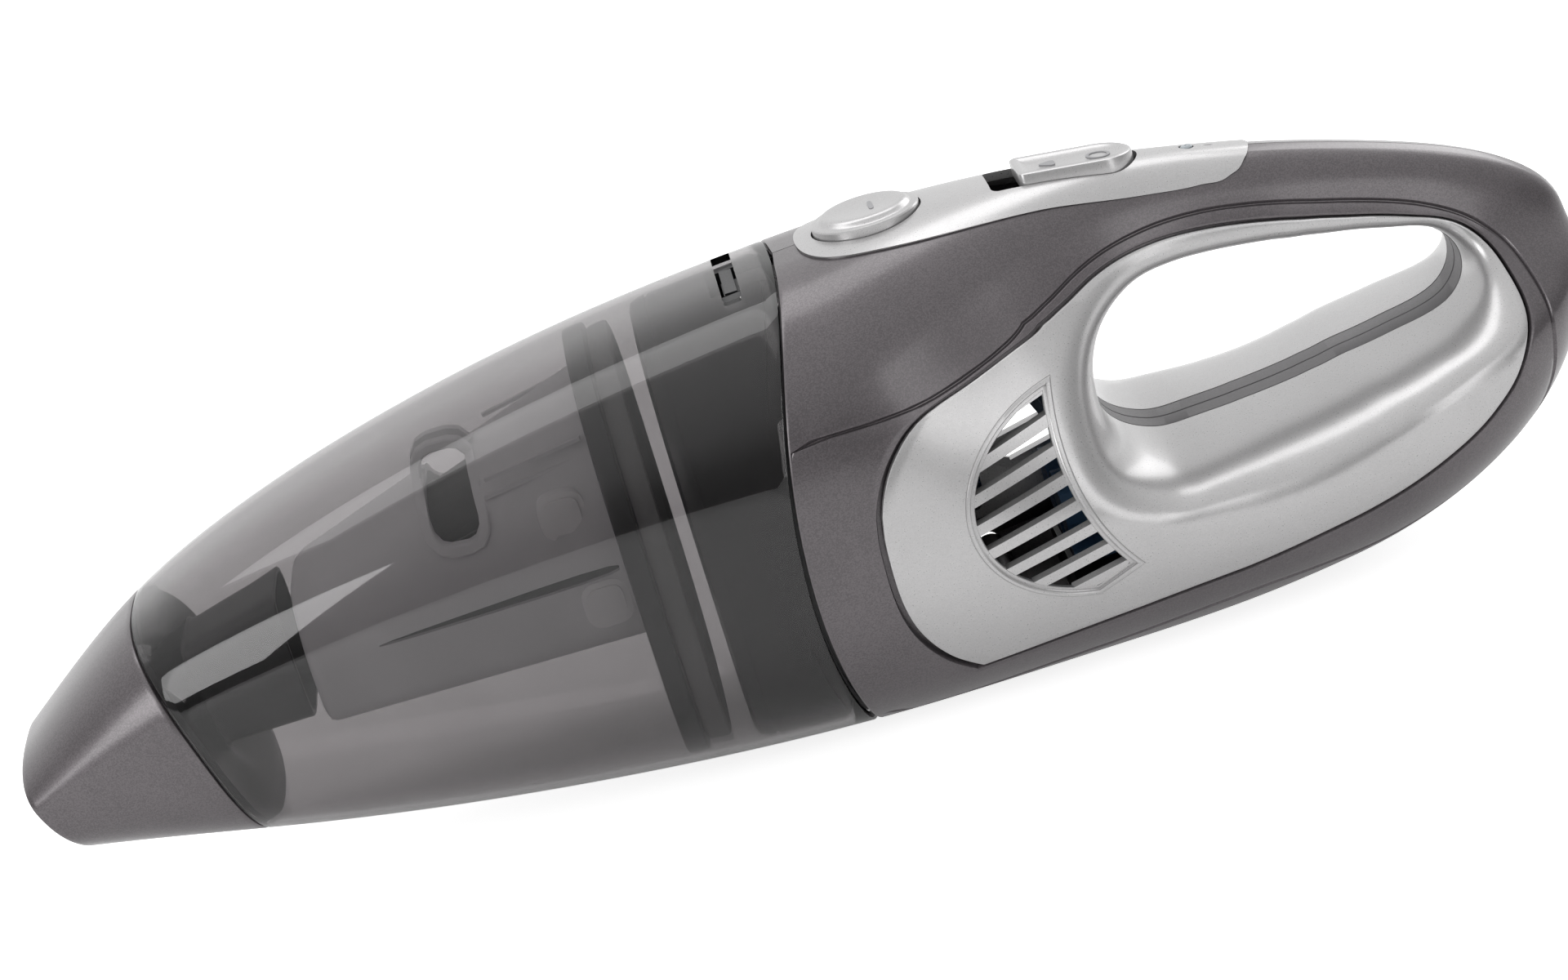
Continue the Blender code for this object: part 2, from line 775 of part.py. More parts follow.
def filter_frame(looks):
    front, rear, half, high = filter_sizes()
    frame = filter_cage("filter_frame", 0, 0, 0, looks["cage"])
    core = filter_cage("cage_core", FILTER_WALL, FILTER_WALL, FILTER_WALL, None, CUTTERS)
    combine(frame, core)
    window = box(
        "cage_window", (front + WINDOW_BACK, -WIDTH, WINDOW_LOW * HEIGHT),
        (front + WINDOW_BACK + WINDOW_LENGTH, WIDTH, WINDOW_HIGH * HEIGHT),
    )
    slit = box(
        "cage_slit", (front + SLIT_BACK, -WIDTH, SLIT_LOW * HEIGHT),
        (rear - SLIT_REAR, WIDTH, SLIT_LOW * HEIGHT + SLIT_WIDTH),
    )
    combine(frame, window)
    combine(frame, slit)
    return frame


def filter_cloth(looks):
    """Pleated cloth on a closed core: the outline zigzags between two sizes."""
    front, rear, half, high = filter_sizes()
    pleats = 14
    low = FILTER_FRONT_LOW + CLOTH_GAP
    middle = (low + FILTER_FRONT_TOP) / 2
    sections = []
    for x, across, up in (
        (front + 14 * MM, FILTER_FRONT_HALF - 2.6 * CLOTH_GAP, FILTER_FRONT_TOP - middle - 2.6 * CLOTH_GAP),
        (rear - GAP, half - 3.0 * CLOTH_GAP, high - middle - 6 * CLOTH_GAP),
    ):
        section = []
        for i in range(2 * pleats):
            turn = math.pi * i / pleats
            size = 1 if i % 2 else 0.86
            section.append(Vector((x, size * across * math.cos(turn), middle + size * up * math.sin(turn))))
        sections.append(section)
    return capped_loft("filter_cloth", sections, looks["cloth"])


def cross_ring(name, start, thick, outer_offset, band, look):
    """A ring across the cup between two cross-sections of it."""
    outer = [inside_section(x, outer_offset) for x in (start, start + thick)]
    inner = [inside_section(x, outer_offset + band) for x in (start, start + thick)]
    sections = [[outer[0][i], outer[1][i], inner[1][i], inner[0][i]] for i in range(RING_POINTS)]
    return swept_loop(name, sections, look)


def filter_flange(looks):
    start = SEAM_X - FLANGE_FRONT
    return cross_ring("filter_flange", start, FLANGE_THICK, CUP_WALL + PLUG_GAP, FLANGE_BAND, looks["black"])


def filter_gasket(looks):
    start = SEAM_X - FLANGE_FRONT + FLANGE_THICK + GAP
    return cross_ring("filter_gasket", start, GASKET_THICK, CUP_WALL + 3 * MM, 4 * MM, looks["pale"])


def bulkhead_front():
    return SEAM_X - BULKHEAD_DEPTH


def motor_bulkhead(looks):
    """A dished wall in front of the motor, its skirt a plug for the cup and the housings."""
    front = bulkhead_front()
    offset = CUP_WALL + PLUG_GAP
    neck = WALL + 3 * PLUG_GAP
    sections = []
    for i in range(RING_POINTS):
        angle = 2 * math.pi * (i + 0.5) / RING_POINTS
        ratio, _ = section_ratio(angle)
        seam = seam_by_ratio(ratio)
        points = []
        for x, inset in (
            (front + 2 * MM, offset), (seam - 2 * SEAM_GAP, offset), (seam - 2 * SEAM_GAP, neck),
            (seam + 7 * MM, neck), (seam + 7 * MM, neck + BULKHEAD_WALL),
            (front + BULKHEAD_WALL + 2 * MM, neck + BULKHEAD_WALL),
            (front + BULKHEAD_WALL, neck + 3 * BULKHEAD_WALL),
        ):
            points.append(skin_inset(x, angle, inset))
        hub = Vector((front + BULKHEAD_WALL, 0, MOTOR_HEIGHT))
        rim = Vector((front, 0, MOTOR_HEIGHT))
        out = Vector((0, math.cos(angle), math.sin(angle))) * 3 * MM
        points += [hub + out, rim + out, skin_inset(front, angle, offset + 2 * MM)]
        sections.append(points)
    wall = swept_loop("motor_bulkhead", sections, looks["black"])
    holes = bmesh.new()
    for ring, count in ((9 * MM, 6), (18 * MM, 10)):
        for i in range(count):
            turn = 2 * math.pi * i / count
            centre = Vector((front, ring * math.cos(turn), MOTOR_HEIGHT + ring * math.sin(turn)))
            bmesh.ops.create_cone(
                holes, cap_ends=True, segments=6, radius1=3.4 * MM, radius2=3.4 * MM, depth=8 * BULKHEAD_WALL,
                matrix=Matrix.Translation(centre) @ AXES["X"],
            )
    combine(wall, finish("air_holes", holes, None, target=CUTTERS))
    half = LATCH_WIDTH / 2 + 1 * MM
    notch_front = TOP_SEAM_X - CATCH_BACK - CATCH_LENGTH
    notch = box(
        "latch_notch", (notch_front, -half, top_z(notch_front) - LATCH_DROP - 4 * LATCH_THICK),
        (TOP_SEAM_X + 4 * CUP_WALL + 4 * MM, half, HEIGHT + WALL),
    )
    combine(wall, notch)
    return wall


# --- Body shells ------------------------------------------------------------------------------------


def rim_radii(ray, edge):
    """Radii from the outline in to the panel's edge, close together where the skin turns over."""
    radii = [ray.outline - (ray.outline - edge) * (i / (RIM_POINTS - 1)) ** 2 for i in range(RIM_POINTS)]
    if not ray.on_seam and half_width(*ray.place(ray.outline)) > 3 * MM:
        radii[1] = ray.outline
    return radii


def housing_section(ray):
    """Round one ray: outline, outer skin, ledge under the panel, and back along the inside."""
    edge = ray.panel + PANEL_GAP_SHARE * (ray.outline - ray.hole) + SEAM_GAP
    outer = []
    inner = []
    for i, radius in enumerate(rim_radii(ray, edge)):
        point = ray.point(radius)
        normal = ray.normal(radius)
        if i == 0 and (not ray.on_seam or ray.at_seam_end):
            point.y = 0
            normal.y = 0
            normal.normalize()
        outer.append(point)
        inner.append(point - normal * WALL)
    normal = ray.normal(edge)
    inner[-1] = outer[-1] - normal * (LEDGE_DROP + LEDGE_WALL)
    outer.append(outer[-1] - normal * LEDGE_DROP)
    tip = max(edge - LEDGE_REACH, ray.hole + 0.6 * (ray.panel - ray.hole))
    normal = ray.normal(tip)
    outer.append(ray.point(tip) - normal * LEDGE_DROP)
    inner.append(ray.point(tip) - normal * (LEDGE_DROP + LEDGE_WALL))
    split = Vector((0, ray.side * GAP / 2, 0))
    return [keep_side(p, ray.side) + split for p in outer + inner[::-1]]


def keep_side(point, side):
    """No point crosses the centre plane."""
    if point.y * side < 0:
        point.y = 0
    return point


def boss_reach(x, z):
    """How far out a boss may run and still end inside the wall on every side."""
    steps = ((BOSS_RADIUS, 0), (-BOSS_RADIUS, 0), (0, BOSS_RADIUS), (0, -BOSS_RADIUS))
    return min(rolled_width(x + across, z + up) for across, up in steps) - WALL / 2


def housing(name, side, looks):
    rays = [Ray(angle, side) for angle in ray_angles()]
    shell = swept_loop(name, [housing_section(ray) for ray in rays], looks["taupe"])
    combine(shell, bpy.data.objects["control_opening"])
    for i, (x, z) in enumerate(SCREW_PLACES):
        reach = boss_reach(x, z)
        start = side * GAP / 2
        length = reach - GAP / 2
        middle = Vector((x, start + side * length / 2, z))
        boss = cylinder(f"{name}_boss_{i + 1}", middle, BOSS_RADIUS, length, "Y", sides=16)
        combine(shell, boss, "UNION")
        bore = SCREW_SHAFT + GAP
        if side > 0:
            shoulder = SCREW_LENGTH / 2
            well = cylinder(
                f"{name}_well_{i + 1}", Vector((x, shoulder + WIDTH / 2, z)), SCREW_HEAD + GAP, WIDTH, "Y",
                sides=16,
            )
            combine(shell, well)
            depth = 2 * shoulder + WALL
        else:
            depth = SCREW_LENGTH + 4 * GAP
        hole = cylinder(f"{name}_hole_{i + 1}", Vector((x, 0, z)), bore, depth, "Y", sides=12)
        combine(shell, hole)
    pad = bpy.data.objects[f"pad_pocket_{name}"]
    combine(shell, pad)
    return shell


def panel_section(ray):
    """Round one ray: from the grip strip over the rolled edge to the panel's rim, and back inside."""
    x, z = ray.place(ray.hole + 0.002 * LENGTH)
    start = min((STRIP_HALF + GAP) / half_width(x, z), 0.8)
    turn = math.asin(start ** (ROLL_POWER / 2))
    full = min(ray.roll, ray.panel - ray.hole)
    last = math.acos(min((1 - full / ray.roll) ** (ROLL_POWER / 2), 1))
    radii = []
    for i in range(ROLL_POINTS):
        angle = turn + (last - turn) * (i / (ROLL_POINTS - 1)) ** 1.3
        radii.append(ray.hole + ray.roll * (1 - math.cos(angle) ** (2 / ROLL_POWER)))
    edge = radii[-1]
    flat = max(ray.panel - edge, 0)
    if flat > 2 * MM:
        radii += [edge + flat * (i + 1) / FLAT_POINTS for i in range(FLAT_POINTS)]
    outer = []
    inner = []
    for i, radius in enumerate(radii):
        point = ray.point(radius)
        normal = ray.normal(radius)
        if i == 0:
            point.y = ray.side * (STRIP_HALF + GAP)
            normal = Vector((-ray.way[0], 0, -ray.way[1]))
        outer.append(point)
        inner.append(point - normal * PANEL_WALL)
    return outer, inner


def side_panel(name, side, looks):
    found = [panel_section(Ray(angle, side)) for angle in ray_angles()]
    most = max(len(outer) for outer, _ in found)
    sections = []
    for outer, inner in found:
        sections.append(resampled(outer, most) + resampled(inner, most)[::-1])
    panel = swept_loop(name, sections, looks["silver"])
    combine(panel, bpy.data.objects["vent_opening"])
    return panel


def resampled(points, count):
    """The same run of points with more of them, the extra ones inside its last stretch."""
    if len(points) == count:
        return points
    extra = count - len(points)
    last = points[-2]
    end = points[-1]
    return points[:-1] + [last + (end - last) * (i + 1) / (extra + 1) for i in range(extra)] + [end]


def grip_strip(looks):
    """The dark band round the inside of the grip hole, over the joint of the two halves."""
    sections = []
    for angle in ray_angles():
        ray = Ray(angle, 1)
        near = ray.place(ray.hole)
        far = ray.place(ray.hole + STRIP_WALL)
        sections.append(
            [
                Vector((near[0], -STRIP_HALF, near[1])), Vector((near[0], STRIP_HALF, near[1])),
                Vector((far[0], STRIP_HALF, far[1])), Vector((far[0], -STRIP_HALF, far[1])),
            ]
        )
    return swept_loop("grip_strip", sections, looks["black"])


def vent_start():
    return CENTRE_X - hole_radius(180) - VENT_FRONT


def vent_outline():
    """A crescent in side view: a round front and a hollow rear."""
    front = vent_start()
    middle = VENT_BOTTOM + VENT_HEIGHT / 2
    across = 0.87 * VENT_LENGTH
    round_side = arc((front + across, middle), (across, VENT_HEIGHT / 2), 97, 258, 12)
    tip = (front + VENT_LENGTH, VENT_BOTTOM + 0.10 * VENT_HEIGHT)
    bend = (front + 0.58 * VENT_LENGTH, middle + 0.02 * VENT_HEIGHT)
    hollow = []
    count = 8
    for i in range(count):
        t = i / count
        shares = ((tip, (1 - t) ** 2), (bend, 2 * t * (1 - t)), (round_side[0], t * t))
        hollow.append(tuple(sum(weight * point[k] for point, weight in shares) for k in (0, 1)))
    return round_side + hollow


def inset(outline, depth):
    """The outline moved inwards by a depth, its corners along their bisectors."""
    found = []
    for i, here in enumerate(outline):
        before = Vector(outline[i - 1])
        after = Vector(outline[(i + 1) % len(outline)])
        into = (Vector(here) - before).normalized()
        away = (after - Vector(here)).normalized()
        bisector = Vector((-into.y - away.y, into.x + away.x)).normalized()
        slant = max(bisector.dot(Vector((-into.y, into.x))), 0.3)
        found.append(tuple(Vector(here) + bisector * depth / slant))
    return found


def vent_cutters():
    prism("vent_opening", vent_outline(), -WIDTH, WIDTH)
    prism("grille_edge", inset(vent_outline(), SEAM_GAP), -WIDTH, WIDTH)
    mesh = bmesh.new()
    front = vent_start()
    step = VENT_HEIGHT / VENT_SLOTS
    for i in range(VENT_SLOTS):
        height = VENT_BOTTOM + (i + 0.15) * step
        bmesh.ops.create_cube(
            mesh, size=1,
            matrix=Matrix.Translation((front + VENT_LENGTH / 2, 0, height + 0.3 * step))
            @ Matrix.Rotation(-VENT_TILT, 4, "Y")
            @ Matrix.Diagonal((2 * VENT_LENGTH, 3 * WIDTH, VENT_SLOT, 1)),
        )
    slots = finish("grille_slots", mesh, None, target=CUTTERS)
    rim = prism("grille_inside", inset(vent_outline(), VENT_RIM), -1.4 * WIDTH, 1.4 * WIDTH)
    clip = slots.modifiers.new("inside_rim", "BOOLEAN")
    clip.operation = "INTERSECT"
    clip.solver = "EXACT"
    clip.object = rim


def vent_grille(name, side, looks):
    """A slab of the side's skin cut to the crescent, with slanted slots."""
    front = vent_start() - 2 * MM
    columns = 5
    rows = 5
    sections = []
    for i in range(columns + 1):
        x = front + (VENT_LENGTH + 5 * MM) * i / columns
        outer = []
        inner = []
        for j in range(rows + 1):
            z = VENT_BOTTOM - 2 * MM + (VENT_HEIGHT + 4 * MM) * j / rows
            point = side_point(x, z, side)
            outer.append(point)
            inner.append(point - Vector((0, side * GRILLE_WALL, 0)))
        sections.append(outer + inner[::-1])
    grille = capped_loft(name, sections, looks["silver"])
    edge = bpy.data.objects["grille_edge"]
    combine(grille, edge, "INTERSECT")
    combine(grille, bpy.data.objects["grille_slots"])
    return grille


# --- Controls on top ----------------------------------------------------------------------------------


def control_half(share):
    return CONTROL_HALF * CONTROL_CURVE(share)


def control_place(share):
    return TOP_SEAM_X + CONTROL_FRONT + CONTROL_LENGTH * share


CONTROL_STATIONS = (0, 0.03, 0.08, 0.15, 0.22, 0.32, 0.45, 0.57, 0.70, 0.82, 0.90, 0.97, 1)


def control_opening():
    """The opening that both housings leave for the control panel."""
    sections = []
    for share in CONTROL_STATIONS:
        x = control_place(share)
        if share == 0:
            x -= SEAM_GAP
        if share == 1:
            x += SEAM_GAP
        half = control_half(share) + SEAM_GAP
        low = top_z(x) - CONTROL_CUT
        high = HEIGHT + 10 * MM
        corners = ((half, low), (half, high), (-half, high), (-half, low))
        sections.append([Vector((x, y, z)) for y, z in corners])
    return capped_loft("control_opening", sections, None, target=CUTTERS)


def button_oval(x, grow):
    """The release button's outline from above, larger by a margin all round."""
    size = (BUTTON_LENGTH / 2 + grow, BUTTON_WIDTH / 2 + grow)
    return arc((x, 0), size, 0, 360 - 360 / OVAL_POINTS, OVAL_POINTS - 1)


def control_panel(looks):
    sections = []
    across = 8
    for share in CONTROL_STATIONS:
        x = control_place(share)
        half = control_half(share)
        ys = [half * (2 * i / across - 1) for i in range(across + 1)]
        outer = [Vector((x, y, skin_top(x, y) + CONTROL_RISE)) for y in ys]
        inner = [Vector((x, y, skin_top(x, y) + CONTROL_RISE - CONTROL_WALL)) for y in ys]
        sections.append(outer + inner[::-1])
    panel = capped_loft("control_panel", sections, looks["silver"])
    button_x = button_centre()[0]
    combine(panel, plate("button_opening", button_oval(button_x, SEAM_GAP), 0.8 * HEIGHT, 1.1 * HEIGHT))
    start = switch_start() - SWITCH_TRAVEL - 2 * SEAM_GAP
    end = switch_start() + SWITCH_LENGTH + 2 * SEAM_GAP
    outline = switch_outline(start, end, SWITCH_WIDTH / 2 + SEAM_GAP)
    combine(panel, plate("switch_opening", outline, 0.8 * HEIGHT, 1.1 * HEIGHT))
    lamp = cylinder("led_opening", Vector((led_x(), 0, HEIGHT)), LED_RADIUS + GAP, HEIGHT / 3, "Z", sides=16)
    combine(panel, lamp)
    return panel


def switch_start():
    return TOP_SEAM_X + SWITCH_BACK


def led_x():
    return TOP_SEAM_X + LED_BACK


def switch_outline(start, end, half):
    """Square at the front and round at the rear."""
    return [(start, half), (start, -half)] + arc((end - half, 0), half, -90, 90, 12)


def button_centre():
    x = TOP_SEAM_X + BUTTON_BACK
    return x, top_z(x)


def release_button(looks):
    """An oval button with a stepped rim and a stem that meets the latch."""
    x, top = button_centre()
    base = top - 0.6 * CONTROL_WALL
    face = top + CONTROL_RISE + BUTTON_RISE
    sections = []
    for z, grow in (
        (base, 0), (top + CONTROL_RISE + 0.2 * BUTTON_RISE, 0),
        (top + CONTROL_RISE + 0.5 * BUTTON_RISE, -1.2 * MM),
        (top + CONTROL_RISE + 0.6 * BUTTON_RISE, -2.6 * MM), (face - 0.5 * MM, -3.2 * MM), (face, -5.0 * MM),
    ):
        sections.append([Vector((px, py, z)) for px, py in button_oval(x, grow)])
    button = capped_loft("release_button", sections, looks["silver"], (x, 0, top))
    low = latch_top(x - BUTTON_STEM_FORWARD) + SEAM_GAP
    centre = Vector((x - BUTTON_STEM_FORWARD, 0, (low + base + MM) / 2))
    stem = cylinder("button_stem", centre, BUTTON_STEM, base + MM - low, "Z", sides=16)
    combine(button, stem, "UNION")
    return button


def latch_top(x):
    return top_z(x) - LATCH_DROP


def latch_pivot():
    x = TOP_SEAM_X + LATCH_PIVOT_BACK
    return x, top_z(x) - LATCH_PIVOT_DROP


def cup_latch(looks):
    """A lever from its pin behind the button forward to the catch window in the cup."""
    pivot_x, pivot_z = latch_pivot()
    hook = TOP_SEAM_X - CATCH_BACK
    tooth = 0.35 * CATCH_LENGTH
    hub = 3.6 * MM
    front = hook - tooth
    stations = [front + (pivot_x - hub - front) * i / 6 for i in range(7)]
    outline = [(x, latch_top(x)) for x in stations]
    outline += arc((pivot_x, pivot_z), hub, 120, -120, 8)
    outline += [(x, latch_top(x) - LATCH_THICK) for x in stations[::-1]]
    half = LATCH_ARM_WIDTH / 2
    lever = prism("cup_latch", outline, -half, half, looks["black"], (pivot_x, 0, pivot_z))
    reach = LATCH_WIDTH / 2
    tooth_top = skin_top(hook - tooth, reach) - CUP_WALL - HOOK_CLEARANCE
    tooth_low = latch_top(hook) - LATCH_THICK + GAP
    bar = box("latch_tooth", (hook - tooth + GAP, -reach, tooth_low), (hook + tooth, reach, tooth_top))
    combine(lever, bar, "UNION")
    hole = cylinder(
        "latch_hole", Vector((pivot_x, 0, pivot_z)), PIN_RADIUS + GAP, 2 * LATCH_ARM_WIDTH, "Y", sides=16
    )
    combine(lever, hole)
    return lever


def latch_pin(looks):
    x, z = latch_pivot()
    centre = Vector((x, 0, z))
    return cylinder("latch_pin", centre, PIN_RADIUS, PIN_LENGTH, "Y", looks["steel"], 16, centre)


def latch_spring(looks):
    """A torsion spring wound round the latch pin beside the lever."""
    pivot_x, pivot_z = latch_pivot()
    start = LATCH_ARM_WIDTH / 2 + SPRING_WIRE + GAP
    per_turn = 10
    pitch = 2 * SPRING_WIRE + GAP
    data = bpy.data.curves.new("latch_spring_path", "CURVE")
    data.dimensions = "3D"
    data.bevel_depth = SPRING_WIRE
    data.bevel_resolution = 1
    data.use_fill_caps = True
    path = data.splines.new("POLY")
    count = SPRING_TURNS * per_turn + 1
    path.points.add(count - 1)
    for i in range(count):
        turn = 2 * math.pi * i / per_turn
        path.points[i].co = (
            pivot_x + SPRING_RADIUS * math.cos(turn), start + pitch * i / per_turn,
            pivot_z + SPRING_RADIUS * math.sin(turn), 1,
        )
    item = bpy.data.objects.new("latch_spring", data)
    data.materials.append(looks["steel"])
    PARTS.objects.link(item)
    return item


def power_switch(looks):
    """A slider that follows the slope of the panel under it."""
    start = switch_start()
    middle = start + SWITCH_LENGTH / 2
    slope = (top_z(start + SWITCH_LENGTH) - top_z(start)) / SWITCH_LENGTH
    base = top_z(middle) + CONTROL_RISE + SWITCH_RISE
    outline = switch_outline(start, start + SWITCH_LENGTH, SWITCH_WIDTH / 2)
    sections = []
    for drop in (0, SWITCH_THICK):
        sections.append([Vector((x, y, base + slope * (x - middle) - drop)) for x, y in outline])
    return capped_loft("power_switch", sections, looks["silver"], (middle, 0, base))


def switch_block(looks):
    x = switch_start() + SWITCH_LENGTH / 2
    top = top_z(x + BLOCK_SIZE[0]) - 4.5 * MM
    low = (x - BLOCK_SIZE[0] / 2, -BLOCK_SIZE[1] / 2, top - BLOCK_SIZE[2])
    high = (x + BLOCK_SIZE[0] / 2, BLOCK_SIZE[1] / 2, top)
    return box("switch_block", low, high, looks["black"])


def circuit_board(looks):
    x = switch_start() + SWITCH_LENGTH / 2
    top = top_z(x + BLOCK_SIZE[0]) - 4.5 * MM - BLOCK_SIZE[2] - GAP
    low = (x - BOARD_LENGTH / 2, -BOARD_WIDTH / 2, top - BOARD_THICK)
    return box("circuit_board", low, (x + BOARD_LENGTH / 2, BOARD_WIDTH / 2, top), looks["board"])


def indicator_led(looks):
    x = led_x()
    top = top_z(x) + CONTROL_RISE + 0.5 * MM
    centre = Vector((x, 0, top - LED_LENGTH / 2))
    return cylinder("indicator_led", centre, LED_RADIUS, LED_LENGTH, "Z", looks["lamp"], 16)


# --- Motor, fan, battery and fasteners ------------------------------------------------------------------


def motor(looks):
    """The can, with a bore that its shaft turns in."""
    profile = [
        (0, MOTOR_RADIUS - 2 * MM), (2 * MM, MOTOR_RADIUS), (MOTOR_LENGTH - 2 * MM, MOTOR_RADIUS),
        (MOTOR_LENGTH, MOTOR_RADIUS - 2 * MM), (MOTOR_LENGTH, SHAFT_RADIUS + GAP), (0, SHAFT_RADIUS + GAP),
    ]
    return turned("motor", profile, (SEAM_X + MOTOR_START, 0, MOTOR_HEIGHT), looks["steel"])


def motor_ring(name, start, looks):
    inner = MOTOR_RADIUS + GAP
    profile = [(0, inner), (RING_WIDTH, inner), (RING_WIDTH, inner + RING_THICK), (0, inner + RING_THICK)]
    return turned(name, profile, (SEAM_X + MOTOR_START + start, 0, MOTOR_HEIGHT), looks["rubber"])


def fan_start():
    return bulkhead_front() + BULKHEAD_WALL + FAN_START - 4 * MM


def motor_shaft(looks):
    start = fan_start()
    end = SEAM_X + MOTOR_START + MOTOR_LENGTH + 3 * MM
    centre = Vector(((start + end) / 2, 0, MOTOR_HEIGHT))
    return cylinder(
        "motor_shaft", centre, SHAFT_RADIUS, end - start, "X", looks["steel"], 16, (start, 0, MOTOR_HEIGHT)
    )


def fan_impeller(looks):
    """A disc and hub round the shaft with straight blades."""
    start = fan_start() + MM
    bore = SHAFT_RADIUS + GAP
    disc = 1.6 * MM
    back = FAN_THICK
    profile = [
        (back, bore), (back, FAN_RADIUS), (back - disc, FAN_RADIUS), (back - disc, 4 * bore),
        (0, 3 * bore), (0, bore),
    ]
    place = (start, 0, MOTOR_HEIGHT)
    fan = turned("fan_impeller", profile, place, looks["black"], place=place)
    blades = bmesh.new()
    count = 8
    for i in range(count):
        turn = 2 * math.pi * i / count
        bmesh.ops.create_cube(
            blades, size=1,
            matrix=Matrix.Translation(place)
            @ Matrix.Rotation(turn, 4, "X")
            @ Matrix.Translation((back / 2 - disc / 4, 0, 0.62 * FAN_RADIUS))
            @ Matrix.Diagonal((back - disc, 1.2 * MM, 0.66 * FAN_RADIUS, 1)),
        )
    combine(fan, finish("fan_blades", blades, None, target=CUTTERS), "UNION")
    return fan


def fan_cover(looks):
    """A drum round the impeller, open at its eye and behind it."""
    start = fan_start() - FAN_COVER_WALL
    length = FAN_THICK + 4 * MM
    outer = FAN_RADIUS + 2 * MM + FAN_COVER_WALL
    eye = 0.6 * FAN_RADIUS
    profile = [
        (0, eye), (0, outer), (length, outer), (length, outer - FAN_COVER_WALL),
        (FAN_COVER_WALL, outer - FAN_COVER_WALL), (FAN_COVER_WALL, eye),
    ]
    return turned("fan_cover", profile, (start, 0, MOTOR_HEIGHT), looks["black"], 32)


def cell_places():
    low = max(bottom_z(SEAM_X + CELL_START), 0) + CELL_LIFT + CELL_RADIUS + WALL
    return [(side * CELL_PITCH / 2, low + row * CELL_PITCH) for row in (0, 1) for side in (-1, 1)]


def battery_cells(looks):
    x = SEAM_X + CELL_START + CELL_LENGTH / 2
    for i, (y, z) in enumerate(cell_places()):
        cylinder(f"battery_cell_{i + 1}", Vector((x, y, z)), CELL_RADIUS, CELL_LENGTH, "X", looks["cell"], 20)


def battery_tray(looks):
    """An open box that holds the lower cells."""
    start = SEAM_X + CELL_START - GAP - TRAY_WALL
    end = SEAM_X + CELL_START + CELL_LENGTH + GAP + TRAY_WALL
    low = cell_places()[0][1] - CELL_RADIUS - GAP - TRAY_WALL
    half = CELL_PITCH / 2 + CELL_RADIUS + GAP + TRAY_WALL
    tray = box("battery_tray", (start, -half, low), (end, half, low + TRAY_HEIGHT), looks["black"])
    core = box(
        "tray_core", (start + TRAY_WALL, TRAY_WALL - half, low + TRAY_WALL),
        (end - TRAY_WALL, half - TRAY_WALL, low + 2 * TRAY_HEIGHT),
    )
    combine(tray, core)
    return tray


def charge_pad(name, side, looks):
    """A contact for the charging dock, set up a little from the belly, and its pocket."""
    x = SEAM_X + 34 * MM
    y = side * 8 * MM
    half = (PAD_LENGTH / 2, PAD_WIDTH / 2)
    housing_name = "left_housing" if side < 0 else "right_housing"
    box(
        f"pad_pocket_{housing_name}",
        (x - half[0] - GAP, y - half[1] - GAP, -WALL), (x + half[0] + GAP, y + half[1] + GAP, 2 * WALL),
    )
    low = (x - half[0], y - half[1], GAP)
    return box(name, low, (x + half[0], y + half[1], GAP + PAD_THICK), looks["steel"])


def housing_screws(looks):
    """Screws from the right side, each head seated on its boss."""
    seat = SCREW_LENGTH / 2 + GAP
    for i, (x, z) in enumerate(SCREW_PLACES):
        sections = []
        for y, radius in (
            (seat - SCREW_LENGTH, 0.5 * SCREW_SHAFT), (seat - SCREW_LENGTH + MM, SCREW_SHAFT),
            (seat, SCREW_SHAFT), (seat, SCREW_HEAD), (seat + 1.6 * MM, SCREW_HEAD),
            (seat + 2.4 * MM, 0.6 * SCREW_HEAD),
        ):
            sections.append([Vector((px, y, pz)) for px, pz in arc((x, z), radius, 0, 330, 11)])
        capped_loft(f"housing_screw_{i + 1}", sections, looks["steel"], (x, seat, z))


def make_looks():
    return {
        "taupe": material("taupe_metallic", (0.17, 0.15, 0.155), 0.34, 0.6),
        "silver": material("silver_paint", (0.62, 0.62, 0.63), 0.3, 0.7),
        "smoke": material("smoked_clear", (0.35, 0.34, 0.35), 0.08, 0.0, 0.9),
        "black": material("black_plastic", (0.02, 0.02, 0.023), 0.4),
        "cage": material("grey_plastic", (0.55, 0.55, 0.56), 0.45),
        "pale": material("pale_rubber", (0.6, 0.6, 0.6), 0.6),
        "rubber": material("black_rubber", (0.015, 0.015, 0.015), 0.7),
        "cloth": material("filter_fabric", (0.75, 0.75, 0.72), 0.9),
        "steel": material("steel", (0.6, 0.6, 0.6), 0.3, 1.0),
        "board": material("board_green", (0.02, 0.16, 0.06), 0.5),
        "cell": material("cell_wrap", (0.03, 0.12, 0.3), 0.45),
        "lamp": material("lamp_red", (0.5, 0.05, 0.04), 0.2),
    }


